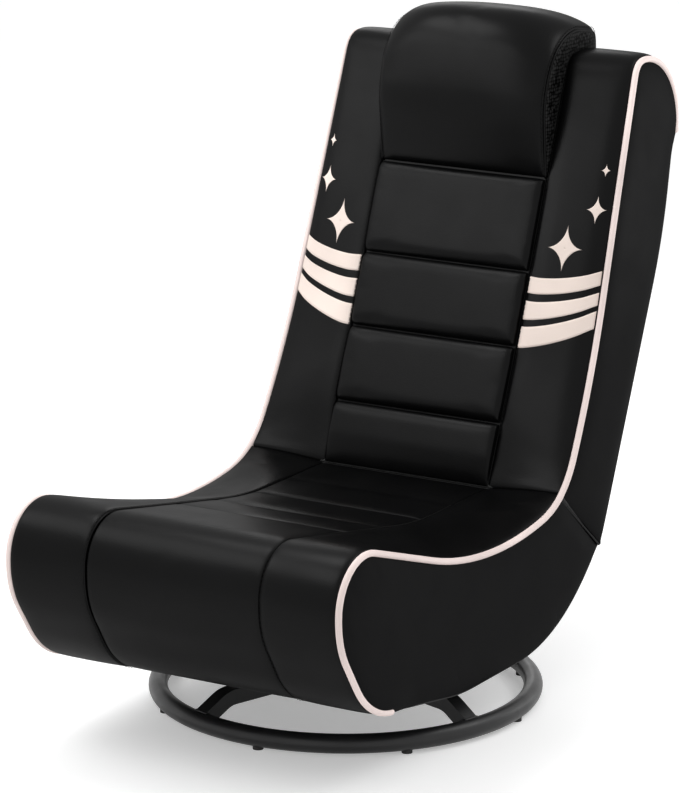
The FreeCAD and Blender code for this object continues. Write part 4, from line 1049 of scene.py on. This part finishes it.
floor_mesh = bpy.data.meshes.new("floor")
floor_corners = [(-FLOOR, -FLOOR, 0), (FLOOR, -FLOOR, 0), (FLOOR, FLOOR, 0), (-FLOOR, FLOOR, 0)]
floor_mesh.from_pydata(floor_corners, [], [(0, 1, 2, 3)])
floor = bpy.data.objects.new("floor", floor_mesh)
bpy.context.scene.collection.objects.link(floor)
floor_white = new_finish("floor_white", (0.95, 0.95, 0.95), 0.7)
set_shader(floor_white, Specular_IOR_Level=0.2, Emission_Color=(1.0, 1.0, 1.0, 1.0))
tree = floor_white.node_tree
glow = tree.nodes.new("ShaderNodeMath")
glow.operation = "MULTIPLY"
glow.inputs[1].default_value = FLOOR_GLOW
tree.links.new(where_seen(tree), glow.inputs[0])
tree.links.new(glow.outputs["Value"], tree.nodes["Principled BSDF"].inputs["Emission Strength"])
floor_mesh.materials.append(floor_white)

world = bpy.data.worlds.new("studio")
bpy.context.scene.world = world
world.use_nodes = True
tree = world.node_tree
sky = tree.nodes["Background"]
sky.inputs["Color"].default_value = (1.0, 1.0, 1.0, 1.0)
sky_level = tree.nodes.new("ShaderNodeMapRange")
sky_level.inputs["To Min"].default_value = ROOM_LIGHT
sky_level.inputs["To Max"].default_value = ROOM_WHITE
tree.links.new(where_seen(tree), sky_level.inputs["Value"])
tree.links.new(sky_level.outputs["Result"], sky.inputs["Strength"])

for name, place, aim, wide, tall, watts in (
    ("front_soft", (-0.62, -0.65, 1.25), (0.0, 0.25, 0.65), 1.3, 0.6, 6.5),
    ("top_soft", (-0.5, -0.08, 1.6), (0.0, 0.25, 0.8), 0.6, 0.4, 3.8),
    ("side_left", (-2.2, -0.6, 1.6), (0.0, 0.0, 0.4), 1.2, 1.2, 3.0),
    ("side_right", (0.95, 1.35, 0.5), (0.24, 0.42, 0.75), 0.5, 0.5, 2.0),
    ("rear_left", (-1.0, 1.9, 1.4), (0.0, 0.4, 0.8), 0.7, 0.7, 5.0),
    ("rear_right", (1.6, 1.0, 2.0), (0.5, 0.2, 0.0), 1.0, 1.0, 12.0),
):
    lamp = bpy.data.lights.new(name, "AREA")
    lamp.shape = "RECTANGLE"
    lamp.size = wide
    lamp.size_y = tall
    lamp.energy = watts
    holder = bpy.data.objects.new(name, lamp)
    holder.location = place
    holder.rotation_euler = (Vector(aim) - Vector(place)).to_track_quat("-Z", "Y").to_euler()
    bpy.context.scene.collection.objects.link(holder)

# Camera: stands in front of the chair, on the sitter's left and a little above, with a long lens.
# Colours come out as they are written.

CAMERA_TURN = math.radians(30.79)
CAMERA_RISE = math.radians(14.52)
CAMERA_AWAY = 5.294
CAMERA_AIM = Vector((0.0, -0.0546, 0.4075))
CAMERA_SENSOR = 36.0
CAMERA_LENS = 186.1
back_off = Vector(
    (
        math.sin(CAMERA_TURN) * math.cos(CAMERA_RISE),
        -math.cos(CAMERA_TURN) * math.cos(CAMERA_RISE),
        math.sin(CAMERA_RISE),
    )
)
lens = bpy.data.cameras.new("camera")
lens.sensor_width = CAMERA_SENSOR
lens.lens = CAMERA_LENS
camera = bpy.data.objects.new("camera", lens)
camera.location = CAMERA_AIM + back_off * CAMERA_AWAY
camera.rotation_euler = (-back_off).to_track_quat("-Z", "Y").to_euler()
bpy.context.scene.collection.objects.link(camera)
bpy.context.scene.camera = camera
bpy.context.scene.view_settings.view_transform = "Standard"
